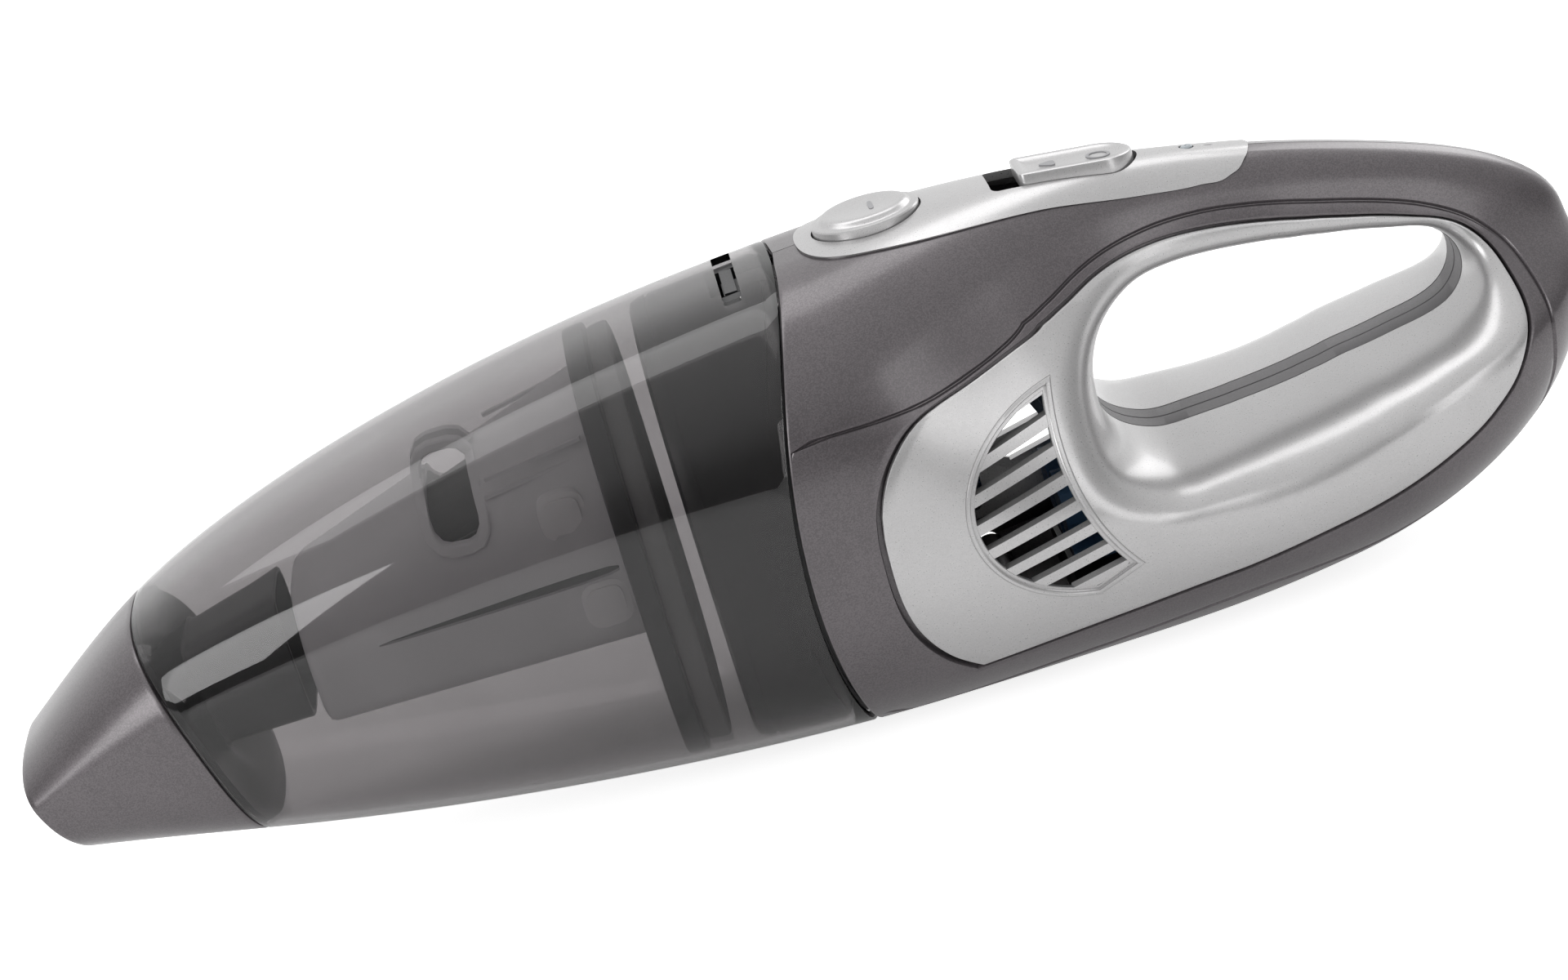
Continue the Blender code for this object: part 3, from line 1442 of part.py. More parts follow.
def main():
    looks = make_looks()
    nozzle(looks)
    dust_cup(looks)
    inlet_duct(looks)
    inlet_flap(looks)
    filter_frame(looks)
    filter_cloth(looks)
    filter_flange(looks)
    filter_gasket(looks)
    motor_bulkhead(looks)
    control_opening()
    charge_pad("charge_contact_left", -1, looks)
    charge_pad("charge_contact_right", 1, looks)
    vent_cutters()
    for name, side in (("left", -1), ("right", 1)):
        housing(f"{name}_housing", side, looks)
        side_panel(f"{name}_side_panel", side, looks)
        vent_grille(f"{name}_vent_grille", side, looks)
    grip_strip(looks)
    control_panel(looks)
    release_button(looks)
    cup_latch(looks)
    latch_pin(looks)
    latch_spring(looks)
    power_switch(looks)
    switch_block(looks)
    circuit_board(looks)
    indicator_led(looks)
    motor(looks)
    motor_shaft(looks)
    motor_ring("motor_ring_front", 4 * MM, looks)
    motor_ring("motor_ring_rear", MOTOR_LENGTH - 4 * MM - RING_WIDTH, looks)
    fan_impeller(looks)
    fan_cover(looks)
    battery_cells(looks)
    battery_tray(looks)
    housing_screws(looks)


clear_scene()
PARTS = new_collection("handheld_vacuum")
CUTTERS = new_collection("cutters")
main()
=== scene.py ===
"""The looks of the cordless handheld vacuum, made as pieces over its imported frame.

X runs from the suction mouth to the tail of the handle, Y to the right side, Z up; metres.
"""

import math

import bmesh
import bpy
import numpy as np
from bpy.props import FloatProperty, FloatVectorProperty, IntProperty, PointerProperty
from mathutils import Matrix, Vector


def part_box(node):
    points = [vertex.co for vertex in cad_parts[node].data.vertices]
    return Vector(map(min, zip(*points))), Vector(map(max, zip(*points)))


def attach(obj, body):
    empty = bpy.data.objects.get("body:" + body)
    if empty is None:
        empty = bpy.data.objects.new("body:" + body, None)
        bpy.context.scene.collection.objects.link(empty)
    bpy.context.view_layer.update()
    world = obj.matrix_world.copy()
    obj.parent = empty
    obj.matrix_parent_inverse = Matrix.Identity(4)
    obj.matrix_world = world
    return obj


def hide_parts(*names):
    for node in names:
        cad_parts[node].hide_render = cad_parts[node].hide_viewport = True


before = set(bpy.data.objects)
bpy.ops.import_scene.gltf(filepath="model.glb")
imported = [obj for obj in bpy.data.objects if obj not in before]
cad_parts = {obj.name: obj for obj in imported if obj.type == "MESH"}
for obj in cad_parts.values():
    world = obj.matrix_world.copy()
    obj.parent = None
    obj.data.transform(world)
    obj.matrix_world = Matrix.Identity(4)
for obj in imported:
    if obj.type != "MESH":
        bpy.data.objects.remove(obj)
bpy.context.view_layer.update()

bl_info = {
    "name": "Handheld Vacuum",
    "version": (1, 0, 0),
    "blender": (4, 5, 0),
    "location": "View3D > Sidebar > Vacuum",
    "description": "Builds the shells, smoked cup, filter, controls and stage of a cordless handheld vacuum",
    "category": "Add Mesh",
}

MM = 0.001
SIDES = (("left", -1), ("right", 1))

# Side view of the skin: share of the length from the nose, then share of the height
TOP_LINE = (
    (0.000, 0.448), (0.081, 0.644), (0.165, 0.772), (0.285, 0.884), (0.404, 0.951),
    (0.524, 0.987), (0.644, 0.999), (0.763, 0.957), (0.883, 0.870), (1.000, 0.821),
)
BOTTOM_LINE = (
    (0.000, 0.240), (0.081, 0.184), (0.165, 0.126), (0.285, 0.060), (0.404, 0.016),
    (0.524, -0.006), (0.644, -0.004), (0.763, 0.008), (0.883, 0.060), (1.000, 0.093),
)
# Half width as a share of half the overall width, and how much of it the handle bar keeps
SIDE_LINE = (
    (0.000, 0.49), (0.117, 0.69), (0.261, 0.855), (0.380, 0.945), (0.524, 1.0),
    (0.644, 1.0), (0.787, 0.93), (0.907, 0.84), (1.000, 0.76),
)
UPPER_LINE = (
    (0.000, 1.0), (0.500, 1.0), (0.548, 0.98), (0.644, 0.70), (0.739, 0.42), (0.835, 0.37), (1.000, 0.40),
)
TAIL_HEIGHT = 0.577
TAIL_START = 0.811
SECTION_POWER = 2.6
TAIL_POWER = 2.2

# Closed curves round the grip hole: angle in degrees, then radius or share of the way to the outline
HOLE_SHAPE = (
    (0, 1.17), (10, 1.08), (20, 0.83), (30, 0.66), (45, 0.52), (60, 0.455), (75, 0.427), (90, 0.428),
    (105, 0.455), (120, 0.515), (140, 0.645), (160, 0.757), (180, 0.80), (200, 0.79), (215, 0.68),
    (230, 0.525), (255, 0.404), (270, 0.382), (285, 0.386), (300, 0.416), (315, 0.481), (330, 0.615),
    (340, 0.80), (350, 1.085),
)
PANEL_SHAPE = (
    (0, 0.235), (10, 0.20), (20, 0.245), (30, 0.267), (60, 0.300), (90, 0.315), (120, 0.294), (140, 0.244),
    (150, 0.222), (156, 0.235), (160, 0.300), (165, 0.420), (170, 0.600), (175, 0.690), (180, 0.738),
    (190, 0.762), (200, 0.757), (206, 0.725), (212, 0.675), (219, 0.632), (230, 0.601),
    (255, 0.573), (285, 0.555), (315, 0.568), (330, 0.580), (340, 0.545), (350, 0.390),
)
# The styling groove, by angle and share; it is missing in front, between the two end angles
GROOVE_SHAPE = (
    (0, 0.39), (10, 0.31), (20, 0.41), (30, 0.453), (45, 0.474), (60, 0.489), (75, 0.496), (90, 0.492),
    (105, 0.469), (120, 0.423), (130, 0.379), (140, 0.33), (150, 0.287), (155, 0.285), (160, 0.345),
    (165, 0.47), (168.5, 0.66), (171, 0.97), (173, 1.05), (207, 1.0), (210, 0.93),
    (215, 0.898), (220, 0.858), (230, 0.82), (240, 0.789), (255, 0.773), (270, 0.803),
    (285, 0.845), (300, 0.878), (315, 0.908), (330, 0.906),
    (340, 0.794), (350, 0.581),
)
GROOVE_ENDS = (172.0, 208.5)
# The housing screws, by place along the length and height, in millimetres
SCREW_PLACES = ((38, 99), (46, 13.5), (150, 20), (198, 66))
# The lamp's place behind the top of the body seam, in millimetres
LAMP_BACK = 107.5
# The duct and the filter cage, in millimetres
DUCT_FLOOR = 43
CAGE_LENGTH = 84
CAGE_FRONT_HALF = 27
CAGE_FRONT_TOP = 79
# The cage's flat top as a share of its width, in front and behind
CAGE_TOP_FRONT = 0.7
CAGE_TOP_REAR = 0.66
# Half width of the control inlay, by the square root of the share of its length
CONTROL_SHAPE = (
    (0.0, 0.0), (0.06, 0.30), (0.13, 0.56), (0.21, 0.77), (0.30, 0.905), (0.39, 0.97), (0.47, 0.99),
    (0.616, 0.91), (0.755, 0.74), (0.866, 0.61), (0.93, 0.55), (0.965, 0.50), (0.985, 0.38), (0.996, 0.18),
    (1.0, 0.0),
)


def length_prop(name, text, value):
    return FloatProperty(name=name, description=text, default=value, unit="LENGTH", precision=5)


def colour_prop(name, text, value):
    return FloatVectorProperty(
        name=name, description=text, default=value, subtype="COLOR", size=3, min=0, max=1,
    )


class VacuumSizes(bpy.types.PropertyGroup):
    """Sizes of the skin and of what is set into it."""

    length: length_prop("Length", "Nose to tail", 0.418)
    height: length_prop("Height", "Belly to the top of the skin", 0.1235)
    width: length_prop("Width", "Widest part of the cup", 0.110)
    wall: length_prop("Wall", "Thickness of the shells", 0.0022)
    cup_wall: length_prop("Cup wall", "Thickness of the smoked cup", 0.0018)
    split: length_prop("Split", "Gap between the two body halves", 0.0003)
    shadow_gap: length_prop("Shadow gap", "Gap round the silver panels", 0.0007)
    round_edge: length_prop("Edge radius", "Rounding of the shells' edges", 0.0006)
    groove_width: length_prop("Groove width", "Width of the styling groove", 0.0013)
    body_seam: length_prop("Body seam", "Nose to the joint of cup and body", 0.2055)
    nozzle_seam: length_prop("Nozzle seam", "Nose to the joint of nozzle and cup", 0.047)
    hole_length: length_prop("Grip hole length", "Length of the grip hole", 0.101)
    tail_bar: length_prop("Tail bar", "Grip hole to the tail", 0.029)
    hole_height: length_prop("Grip hole height", "Height of the grip hole's centre", 0.070)
    strip_half: length_prop("Strip half width", "Half the width of the grip strip", 0.007)
    vent_length: length_prop("Vent length", "Length of the exhaust crescent", 0.040)
    vent_height: length_prop("Vent height", "Height of the exhaust crescent", 0.056)
    slat: length_prop("Slat", "Thickness of a vent slat", 0.0028)
    slats: IntProperty(name="Slats", description="Slats in each vent", default=9, min=3, max=20)


class VacuumColours(bpy.types.PropertyGroup):
    """Colours of the finishes."""

    taupe: colour_prop("Body paint", "Metallic paint of the housings and nozzle", (0.105, 0.094, 0.100))
    silver: colour_prop("Silver paint", "Paint of the panels and controls", (0.475, 0.47, 0.472))
    smoke: colour_prop("Smoked plastic", "Tint of the dust cup", (0.44, 0.425, 0.43))
    black: colour_prop("Black plastic", "Duct, flange and bulkhead", (0.018, 0.018, 0.020))
    cage: colour_prop("Grey plastic", "Filter cage", (0.76, 0.76, 0.77))
    cloth: colour_prop("Filter cloth", "Pleated filter", (0.16, 0.16, 0.16))
    steel: colour_prop("Steel", "Motor, screws and pins", (0.55, 0.55, 0.56))
    floor: colour_prop("Floor", "The plain floor", (0.93, 0.93, 0.93))


# --- The skin as formulas -------------------------------------------------------------------------


def tame(points, period=None):
    """A smooth curve through the points that does not swing past them."""
    xs = np.array([p[0] for p in points], float)
    ys = np.array([p[1] for p in points], float)
    if period:
        xs = np.concatenate([xs[-3:] - period, xs, xs[:3] + period])
        ys = np.concatenate([ys[-3:], ys, ys[:3]])
    slopes = np.gradient(ys, xs)

    def value(x):
        x = np.asarray(x, float)
        if period:
            x = x % period
        i = np.clip(np.searchsorted(xs, x) - 1, 0, len(xs) - 2)
        h = xs[i + 1] - xs[i]
        t = (x - xs[i]) / h
        rise = (3 - 2 * t) * t * t
        return (
            ys[i] * (1 - rise) + ys[i + 1] * rise
            + h * t * (1 - t) * ((1 - t) * slopes[i] - t * slopes[i + 1])
        )

    return value


def spline(points, period=None):
    """A smooth curve of even curvature through the points, as a function of one number or an array."""
    xs = np.array([p[0] for p in points], float)
    ys = np.array([p[1] for p in points], float)
    if period:
        xs = np.concatenate([xs[-5:] - period, xs, xs[:5] + period])
        ys = np.concatenate([ys[-5:], ys, ys[:5]])
    n = len(xs)
    step = np.diff(xs)
    matrix = np.eye(n)
    right = np.zeros(n)
    for i in range(1, n - 1):
        matrix[i, i - 1 : i + 2] = step[i - 1], 2 * (step[i - 1] + step[i]), step[i]
        right[i] = 6 * ((ys[i + 1] - ys[i]) / step[i] - (ys[i] - ys[i - 1]) / step[i - 1])
    bend = np.linalg.solve(matrix, right)

    def value(x):
        x = np.asarray(x, float)
        if period:
            x = x % period
        i = np.clip(np.searchsorted(xs, x) - 1, 0, n - 2)
        h = step[i]
        a = (xs[i + 1] - x) / h
        b = 1 - a
        return a * ys[i] + b * ys[i + 1] + ((a**3 - a) * bend[i] + (b**3 - b) * bend[i + 1]) * h * h / 6

    return value


class Skin:
    """The outer skin: half widths between a top and a bottom line, and the rays round the grip hole."""

    def __init__(self, sizes):
        self.s = sizes
        self.nose = -sizes.length / 2
        self.tail = sizes.length / 2
        self.top_curve = spline(TOP_LINE)
        self.bottom_curve = spline(BOTTOM_LINE)
        self.side_curve = spline(SIDE_LINE)
        self.upper_curve = tame(UPPER_LINE)
        self.hole_curve = tame(HOLE_SHAPE, 360)
        self.groove_curve = tame(GROOVE_SHAPE, 360)
        self.control_curve = tame(CONTROL_SHAPE)
        self.panel_curve = tame(PANEL_SHAPE, 360)
        self.seam = self.nose + sizes.body_seam
        self.top_seam = self.seam + 10.5 * MM * 1.44
        self.centre = self.tail - sizes.tail_bar - 0.594 * sizes.hole_length

    def share(self, x):
        return (x - self.nose) / self.s.length

    def closing(self, x, power):
        q = np.clip((self.share(x) - TAIL_START) / (1 - TAIL_START), 0, 1)
        return np.maximum(1 - q**power, 0) ** (1 / power)

    def top(self, x):
        tail = TAIL_HEIGHT * self.s.height
        return tail + (self.top_curve(self.share(x)) * self.s.height - tail) * self.closing(x, TAIL_POWER)

    def bottom(self, x):
        tail = TAIL_HEIGHT * self.s.height
        return tail + (self.bottom_curve(self.share(x)) * self.s.height - tail) * self.closing(x, TAIL_POWER)

    def side(self, x, level):
        q = np.clip((level - 0.35) / 0.5, 0, 1)
        upper = q * q * (3 - 2 * q)
        wide = self.side_curve(self.share(x)) * self.s.width / 2 * self.closing(x, SECTION_POWER)
        return wide * (1 + (self.upper_curve(self.share(x)) - 1) * upper)

    def width(self, x, z):
        low = self.bottom(x)
        high = self.top(x)
        half = np.maximum((high - low) / 2, 0.3 * MM)
        ratio = np.clip((z - (low + high) / 2) / half, -1, 1)
        return self.side(x, (ratio + 1) / 2) * (1 - np.abs(ratio) ** SECTION_POWER) ** (1 / SECTION_POWER)

    def height_at(self, x, y):
        """Height of the top of the skin beside the centre line."""
        low = self.bottom(x)
        high = self.top(x)
        reach = np.clip(np.abs(y) / self.side(x, 1.0), 0, 1)
        return (low + high) / 2 + (high - low) / 2 * (1 - reach**SECTION_POWER) ** (1 / SECTION_POWER)

    def seam_x(self, z):
        ratio = 2 * z / self.s.height - 1
        bend = np.where(ratio > -0.2, 10.5 * MM, 13.0 * MM)
        return self.seam + bend * (ratio + 0.2) ** 2

    def nozzle_x(self, ratio):
        return self.nose + self.s.nozzle_seam - 9 * MM * ratio

    def mouth_x(self, ratio):
        """The mouth bulges forward at its upper lip and leans back to the lower one."""
        low = (1 - ratio) / 2
        return self.nose + 12 * MM * low**2

    def ring(self, x, angle):
        """Points of the level cross-sections at x, by angle round them."""
        c = np.cos(angle)
        sn = np.sin(angle)
        ratio = np.sign(sn) * np.abs(sn) ** (2 / SECTION_POWER)
        low = self.bottom(x)
        high = self.top(x)
        z = (low + high) / 2 + (high - low) / 2 * ratio
        wide = self.side(x, (ratio + 1) / 2) * np.abs(c) ** (2 / SECTION_POWER) * np.sign(c)
        return np.stack(np.broadcast_arrays(x, wide, np.maximum(z, 0)), axis=-1)

    def ring_normal(self, x, angle):
        across = self.ring(x + 0.2 * MM, angle) - self.ring(x - 0.2 * MM, angle)
        around = self.ring(x, angle + 0.003) - self.ring(x, angle - 0.003)
        return unit(np.cross(around, across))

    def hole_radius(self, degrees):
        return self.hole_curve(degrees) * self.s.hole_length / 2

    def outside(self, x, z):
        inside_x = np.minimum(x, self.tail)
        floor = np.maximum(self.bottom(inside_x), 0)
        return (x < self.seam_x(z)) | (x > self.tail) | (z > self.top(inside_x)) | (z < floor)

    def outline_radius(self, degrees):
        turn = np.radians(degrees)
        near = np.zeros_like(turn)
        far = np.full_like(turn, self.s.length)
        for _ in range(40):
            middle = (near + far) / 2
            x, z = self.centre + middle * np.cos(turn), self.s.hole_height + middle * np.sin(turn)
            out = self.outside(x, z)
            far = np.where(out, middle, far)
            near = np.where(out, near, middle)
        return near

    def corner(self, x, z):
        return np.degrees(np.arctan2(z - self.s.hole_height, x - self.centre)) % 360

    def rolled(self, x, z):
        """Half width of the body, rolled over into the grip hole."""
        across = x - self.centre
        up = z - self.s.hole_height
        degrees = np.degrees(np.arctan2(up, across)) % 360
        low = (1 - np.sin(np.radians(degrees))) / 2
        roll = (9.5 + 14.5 * low**0.8) * MM
        depth = np.clip((np.hypot(across, up) - self.hole_radius(degrees)) / roll, 0, 1)
        return self.width(x, z) * (1 - (1 - depth) ** 3.4) ** (1 / 3.4)

    def side_point(self, x, z, side):
        return np.stack([x, side * self.rolled(x, z), np.maximum(z, 0)], axis=-1)

    def side_normal(self, x, z, side):
        step = 0.05 * MM
        along = (self.rolled(x + step, z) - self.rolled(x - step, z)) / (2 * step)
        up = (self.rolled(x, z + step) - self.rolled(x, z - step)) / (2 * step)
        found = unit(np.stack([-along, np.full_like(x, side), -up], axis=-1))
        found[z < 0.02 * MM] = (0, 0, -1)
        return found


def unit(vectors):
    return vectors / np.maximum(np.linalg.norm(vectors, axis=-1, keepdims=True), 1e-12)


class Rays:
    """Directions round the grip hole with the radius of each nested curve along them."""

    def __init__(self, skin, fineness=1.0):
        s = skin.s
        top = float(skin.corner(skin.top_seam, skin.top(skin.top_seam)))
        low_x = float(skin.seam_x(0.0))
        low = float(skin.corner(low_x, max(float(skin.bottom(low_x)), 0)))
        over = np.linspace(0, top, int(110 * fineness), endpoint=False)
        around = np.sin(np.linspace(np.pi / 2, -np.pi / 2, int(70 * fineness) + 2)[1:-1])
        heights = (np.sign(around) * np.abs(around) ** (2 / SECTION_POWER) + 1) / 2 * s.height
        front = skin.corner(skin.seam_x(heights), heights)
        front = front[(front > top + 0.15) & (front < low - 0.15)]
        below = np.linspace(low, 360, int(110 * fineness), endpoint=False)
        self.degrees = np.concatenate([over, [top], front, below])
        turn = np.radians(self.degrees)
        self.skin = skin
        self.cos = np.cos(turn)
        self.sin = np.sin(turn)
        self.hole = skin.hole_radius(self.degrees)
        self.outline = skin.outline_radius(self.degrees)
        self.panel = self.hole + skin.panel_curve(self.degrees) * (self.outline - self.hole)
        self.roll = (9.5 + 14.5 * ((1 - self.sin) / 2) ** 0.8) * MM
        self.on_seam = (self.degrees > top + 0.01) & (self.degrees < low - 0.01)

    def place(self, radius):
        return self.skin.centre + self.cos * radius, self.skin.s.hole_height + self.sin * radius

    def point(self, radius, side):
        return self.skin.side_point(*self.place(radius), side)

    def normal(self, radius, side):
        inner = np.clip(radius, self.hole + 0.05 * MM, self.outline - 0.6 * MM)
        found = self.skin.side_normal(*self.place(inner), side)
        flat = (self.place(radius)[1] < 0.02 * MM) & ~self.on_seam
        found[flat] = (0, 0, -1)
        return found


# --- Mesh helpers ---------------------------------------------------------------------------------


def mesh_piece(name, points, faces, smooth=35):
    """An object from points and faces, its faces turned outwards and its round parts smooth."""
    mesh = bmesh.new()
    verts = [mesh.verts.new(p) for p in points]
    for face in faces:
        if len(set(face)) > 2:
            mesh.faces.new([verts[i] for i in face])
    bmesh.ops.remove_doubles(mesh, verts=mesh.verts, dist=0.0000005)
    bmesh.ops.recalc_face_normals(mesh, faces=mesh.faces)
    return bmesh_piece(name, mesh, smooth)


def bmesh_piece(name, mesh, smooth=35):
    data = bpy.data.meshes.new(name)
    mesh.to_mesh(data)
    mesh.free()
    data.shade_smooth()
    data.set_sharp_from_angle(angle=math.radians(smooth))
    item = bpy.data.objects.new(name, data)
    bpy.context.scene.collection.objects.link(item)
    return item


def grid_faces(rows, columns, close_rows, close_columns, start=0):
    faces = []
    for i in range(rows if close_rows else rows - 1):
        after = (i + 1) % rows
        for j in range(columns if close_columns else columns - 1):
            k = (j + 1) % columns
            low = start + i * columns
            high = start + after * columns
            faces.append((low + j, low + k, high + k, high + j))
    return faces


def swept(name, sections, closed=True, smooth=35):
    """A closed body through sections given as rows x points x 3; open runs get end faces."""
    rows, columns = sections.shape[:2]
    faces = grid_faces(rows, columns, closed, True)
    if not closed:
        faces.append(tuple(range(columns)))
        faces.append(tuple(range((rows - 1) * columns, rows * columns)))
    return mesh_piece(name, sections.reshape(-1, 3).tolist(), faces, smooth)


def baked(item):
    """The item's modifiers made part of its mesh."""
    graph = bpy.context.evaluated_depsgraph_get()
    data = bpy.data.meshes.new_from_object(item.evaluated_get(graph))
    item.modifiers.clear()
    item.data = data
    return item


def cut(item, tool, how="DIFFERENCE"):
    """A Boolean of two pieces, made part of the first; the tool is used up."""
    step = item.modifiers.new("cut", "BOOLEAN")
    step.operation = how
    step.solver = "EXACT"
    step.object = tool
    baked(item)
    bpy.data.objects.remove(tool, do_unlink=True)
    item.data.shade_smooth()
    item.data.set_sharp_from_angle(angle=math.radians(35))
    return item


def joined(name, items):
    """Several pieces as one object."""
    mesh = bmesh.new()
    for item in items:
        mesh.from_mesh(item.data)
        bpy.data.objects.remove(item, do_unlink=True)
    return bmesh_piece(name, mesh)


def bevelled(item, width, segments=2, angle=40):
    edge = item.modifiers.new("edges", "BEVEL")
    edge.width = width
    edge.segments = segments
    edge.limit_method = "ANGLE"
    edge.angle_limit = math.radians(angle)
    return item


def box_piece(name, low, high):
    mesh = bmesh.new()
    bmesh.ops.create_cube(mesh, size=1)
    bmesh.ops.scale(mesh, vec=Vector(high) - Vector(low), verts=mesh.verts)
    bmesh.ops.translate(mesh, vec=(Vector(high) + Vector(low)) / 2, verts=mesh.verts)
    return bmesh_piece(name, mesh)


def turned(name, profile, centre, sides=96, axis="X"):
    """A ring turned about an axis from (along, radius) points that close on themselves."""
    profile = np.array(profile)
    turn = np.linspace(0, 2 * np.pi, sides, endpoint=False)[:, None]
    along = np.broadcast_to(profile[:, 0], (sides, len(profile)))
    a = profile[:, 1] * np.cos(turn)
    b = profile[:, 1] * np.sin(turn)
    order = {"X": (along, a, b), "Y": (a, along, b), "Z": (a, b, along)}[axis]
    return swept(name, np.stack(order, axis=-1) + np.array(centre))


def dress(item, material, body, *nodes, slot=None):
    """Gives a piece its material, its body and the nodes it stands for; its slot is not used."""
    item.data.materials.clear()
    item.data.materials.append(material)
    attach(item, body)
    if nodes:
        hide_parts(*nodes)
    return item


# --- Shared shader effects and finishes -----------------------------------------------------------


def shader_group(name, inputs, outputs):
    """An empty shader group with its sockets."""
    tree = bpy.data.node_groups.new(name, "ShaderNodeTree")
    for label, kind, value in inputs:
        socket = tree.interface.new_socket(name=label, in_out="INPUT", socket_type=f"NodeSocket{kind}")
        socket.default_value = value
    for label, kind in outputs:
        tree.interface.new_socket(name=label, in_out="OUTPUT", socket_type=f"NodeSocket{kind}")
    return tree, tree.nodes.new("NodeGroupInput"), tree.nodes.new("NodeGroupOutput")


def node(tree, kind, **values):
    found = tree.nodes.new(kind)
    for key, value in values.items():
        setattr(found, key, value)
    return found


def maths(tree, how, first, second):
    """One maths node; plain numbers are set, sockets are linked."""
    found = node(tree, "ShaderNodeMath", operation=how)
    for i, value in enumerate((first, second)):
        if isinstance(value, (int, float)):
            found.inputs[i].default_value = value
        else:
            tree.links.new(value, found.inputs[i])
    return found.outputs[0]


def grain_group():
    """Fine moulded or sprayed grain: a height for bump and two masks, one fine and one broad."""
    found = bpy.data.node_groups.get("moulded_grain")
    if found:
        return found
    tree, start, end = shader_group(
        "moulded_grain",
        (("Fine Scale", "Float", 2500.0), ("Broad Scale", "Float", 40.0)),
        (("Height", "Float"), ("Fine", "Float"), ("Broad", "Float")),
    )
    place = node(tree, "ShaderNodeTexCoord").outputs["Object"]
    fine = node(tree, "ShaderNodeTexNoise")
    fine.inputs["Detail"].default_value = 2.0
    tree.links.new(place, fine.inputs["Vector"])
    tree.links.new(start.outputs["Fine Scale"], fine.inputs["Scale"])
    broad = node(tree, "ShaderNodeTexNoise")
    broad.inputs["Detail"].default_value = 4.0
    tree.links.new(place, broad.inputs["Vector"])
    tree.links.new(start.outputs["Broad Scale"], broad.inputs["Scale"])
    height = maths(tree, "ADD", fine.outputs[0], maths(tree, "MULTIPLY", broad.outputs[0], 0.25))
    tree.links.new(height, end.inputs["Height"])
    tree.links.new(fine.outputs[0], end.inputs["Fine"])
    tree.links.new(broad.outputs[0], end.inputs["Broad"])
    return tree


def flake_group():
    """Metallic flakes: a mask of small cells, each with its own brightness."""
    found = bpy.data.node_groups.get("paint_flakes")
    if found:
        return found
    tree, start, end = shader_group("paint_flakes", (("Scale", "Float", 3500.0),), (("Flake", "Float"),))
    place = node(tree, "ShaderNodeTexCoord").outputs["Object"]
    cells = node(tree, "ShaderNodeTexVoronoi")
    tree.links.new(place, cells.inputs["Vector"])
    tree.links.new(start.outputs["Scale"], cells.inputs["Scale"])
    split = node(tree, "ShaderNodeSeparateColor")
    tree.links.new(cells.outputs["Color"], split.inputs[0])
    tree.links.new(split.outputs[0], end.inputs["Flake"])
    return tree


def ranged(tree, value, low, high):
    """A 0 to 1 mask stretched between two values."""
    found = node(tree, "ShaderNodeMapRange")
    found.inputs["From Min"].default_value = 0.25
    found.inputs["From Max"].default_value = 0.75
    found.inputs["To Min"].default_value = low
    found.inputs["To Max"].default_value = high
    tree.links.new(value, found.inputs["Value"])
    return found.outputs["Result"]


def finish_look(
    name, colour, roughness, metallic=0.0, spread=0.10, grain=2500.0, bump=0.05, flakes=0.0, **plain
):
    """A Principled finish whose colour, roughness and bump vary with the shared grain."""
    found = bpy.data.materials.get(name)
    if found:
        return found
    look = bpy.data.materials.new(name)
    look.use_nodes = True
    tree = look.node_tree
    shader = tree.nodes["Principled BSDF"]
    shader.inputs["Metallic"].default_value = metallic
    for label, value in plain.items():
        shader.inputs[label.replace("_", " ")].default_value = value
    marks = node(tree, "ShaderNodeGroup", node_tree=grain_group())
    marks.inputs["Fine Scale"].default_value = grain
    tone = marks.outputs["Broad"]
    if flakes:
        specks = node(tree, "ShaderNodeGroup", node_tree=flake_group())
        tone = maths(tree, "ADD", maths(tree, "MULTIPLY", specks.outputs["Flake"], flakes), tone)
        tone = maths(tree, "SUBTRACT", tone, flakes / 2)
    mix = node(tree, "ShaderNodeMix", data_type="RGBA")
    mix.inputs["A"].default_value = (*[c * (1 - spread) for c in colour], 1)
    mix.inputs["B"].default_value = (*[min(c * (1 + spread), 1) for c in colour], 1)
    tree.links.new(ranged(tree, tone, 0.0, 1.0), mix.inputs["Factor"])
    tree.links.new(mix.outputs["Result"], shader.inputs["Base Color"])
    rough = ranged(tree, marks.outputs["Fine"], roughness * 0.88, min(roughness * 1.12, 1))
    tree.links.new(rough, shader.inputs["Roughness"])
    if bump:
        relief = node(tree, "ShaderNodeBump")
        relief.inputs["Strength"].default_value = bump
        relief.inputs["Distance"].default_value = 0.0002
        tree.links.new(marks.outputs["Height"], relief.inputs["Height"])
        tree.links.new(relief.outputs["Normal"], shader.inputs["Normal"])
    return look


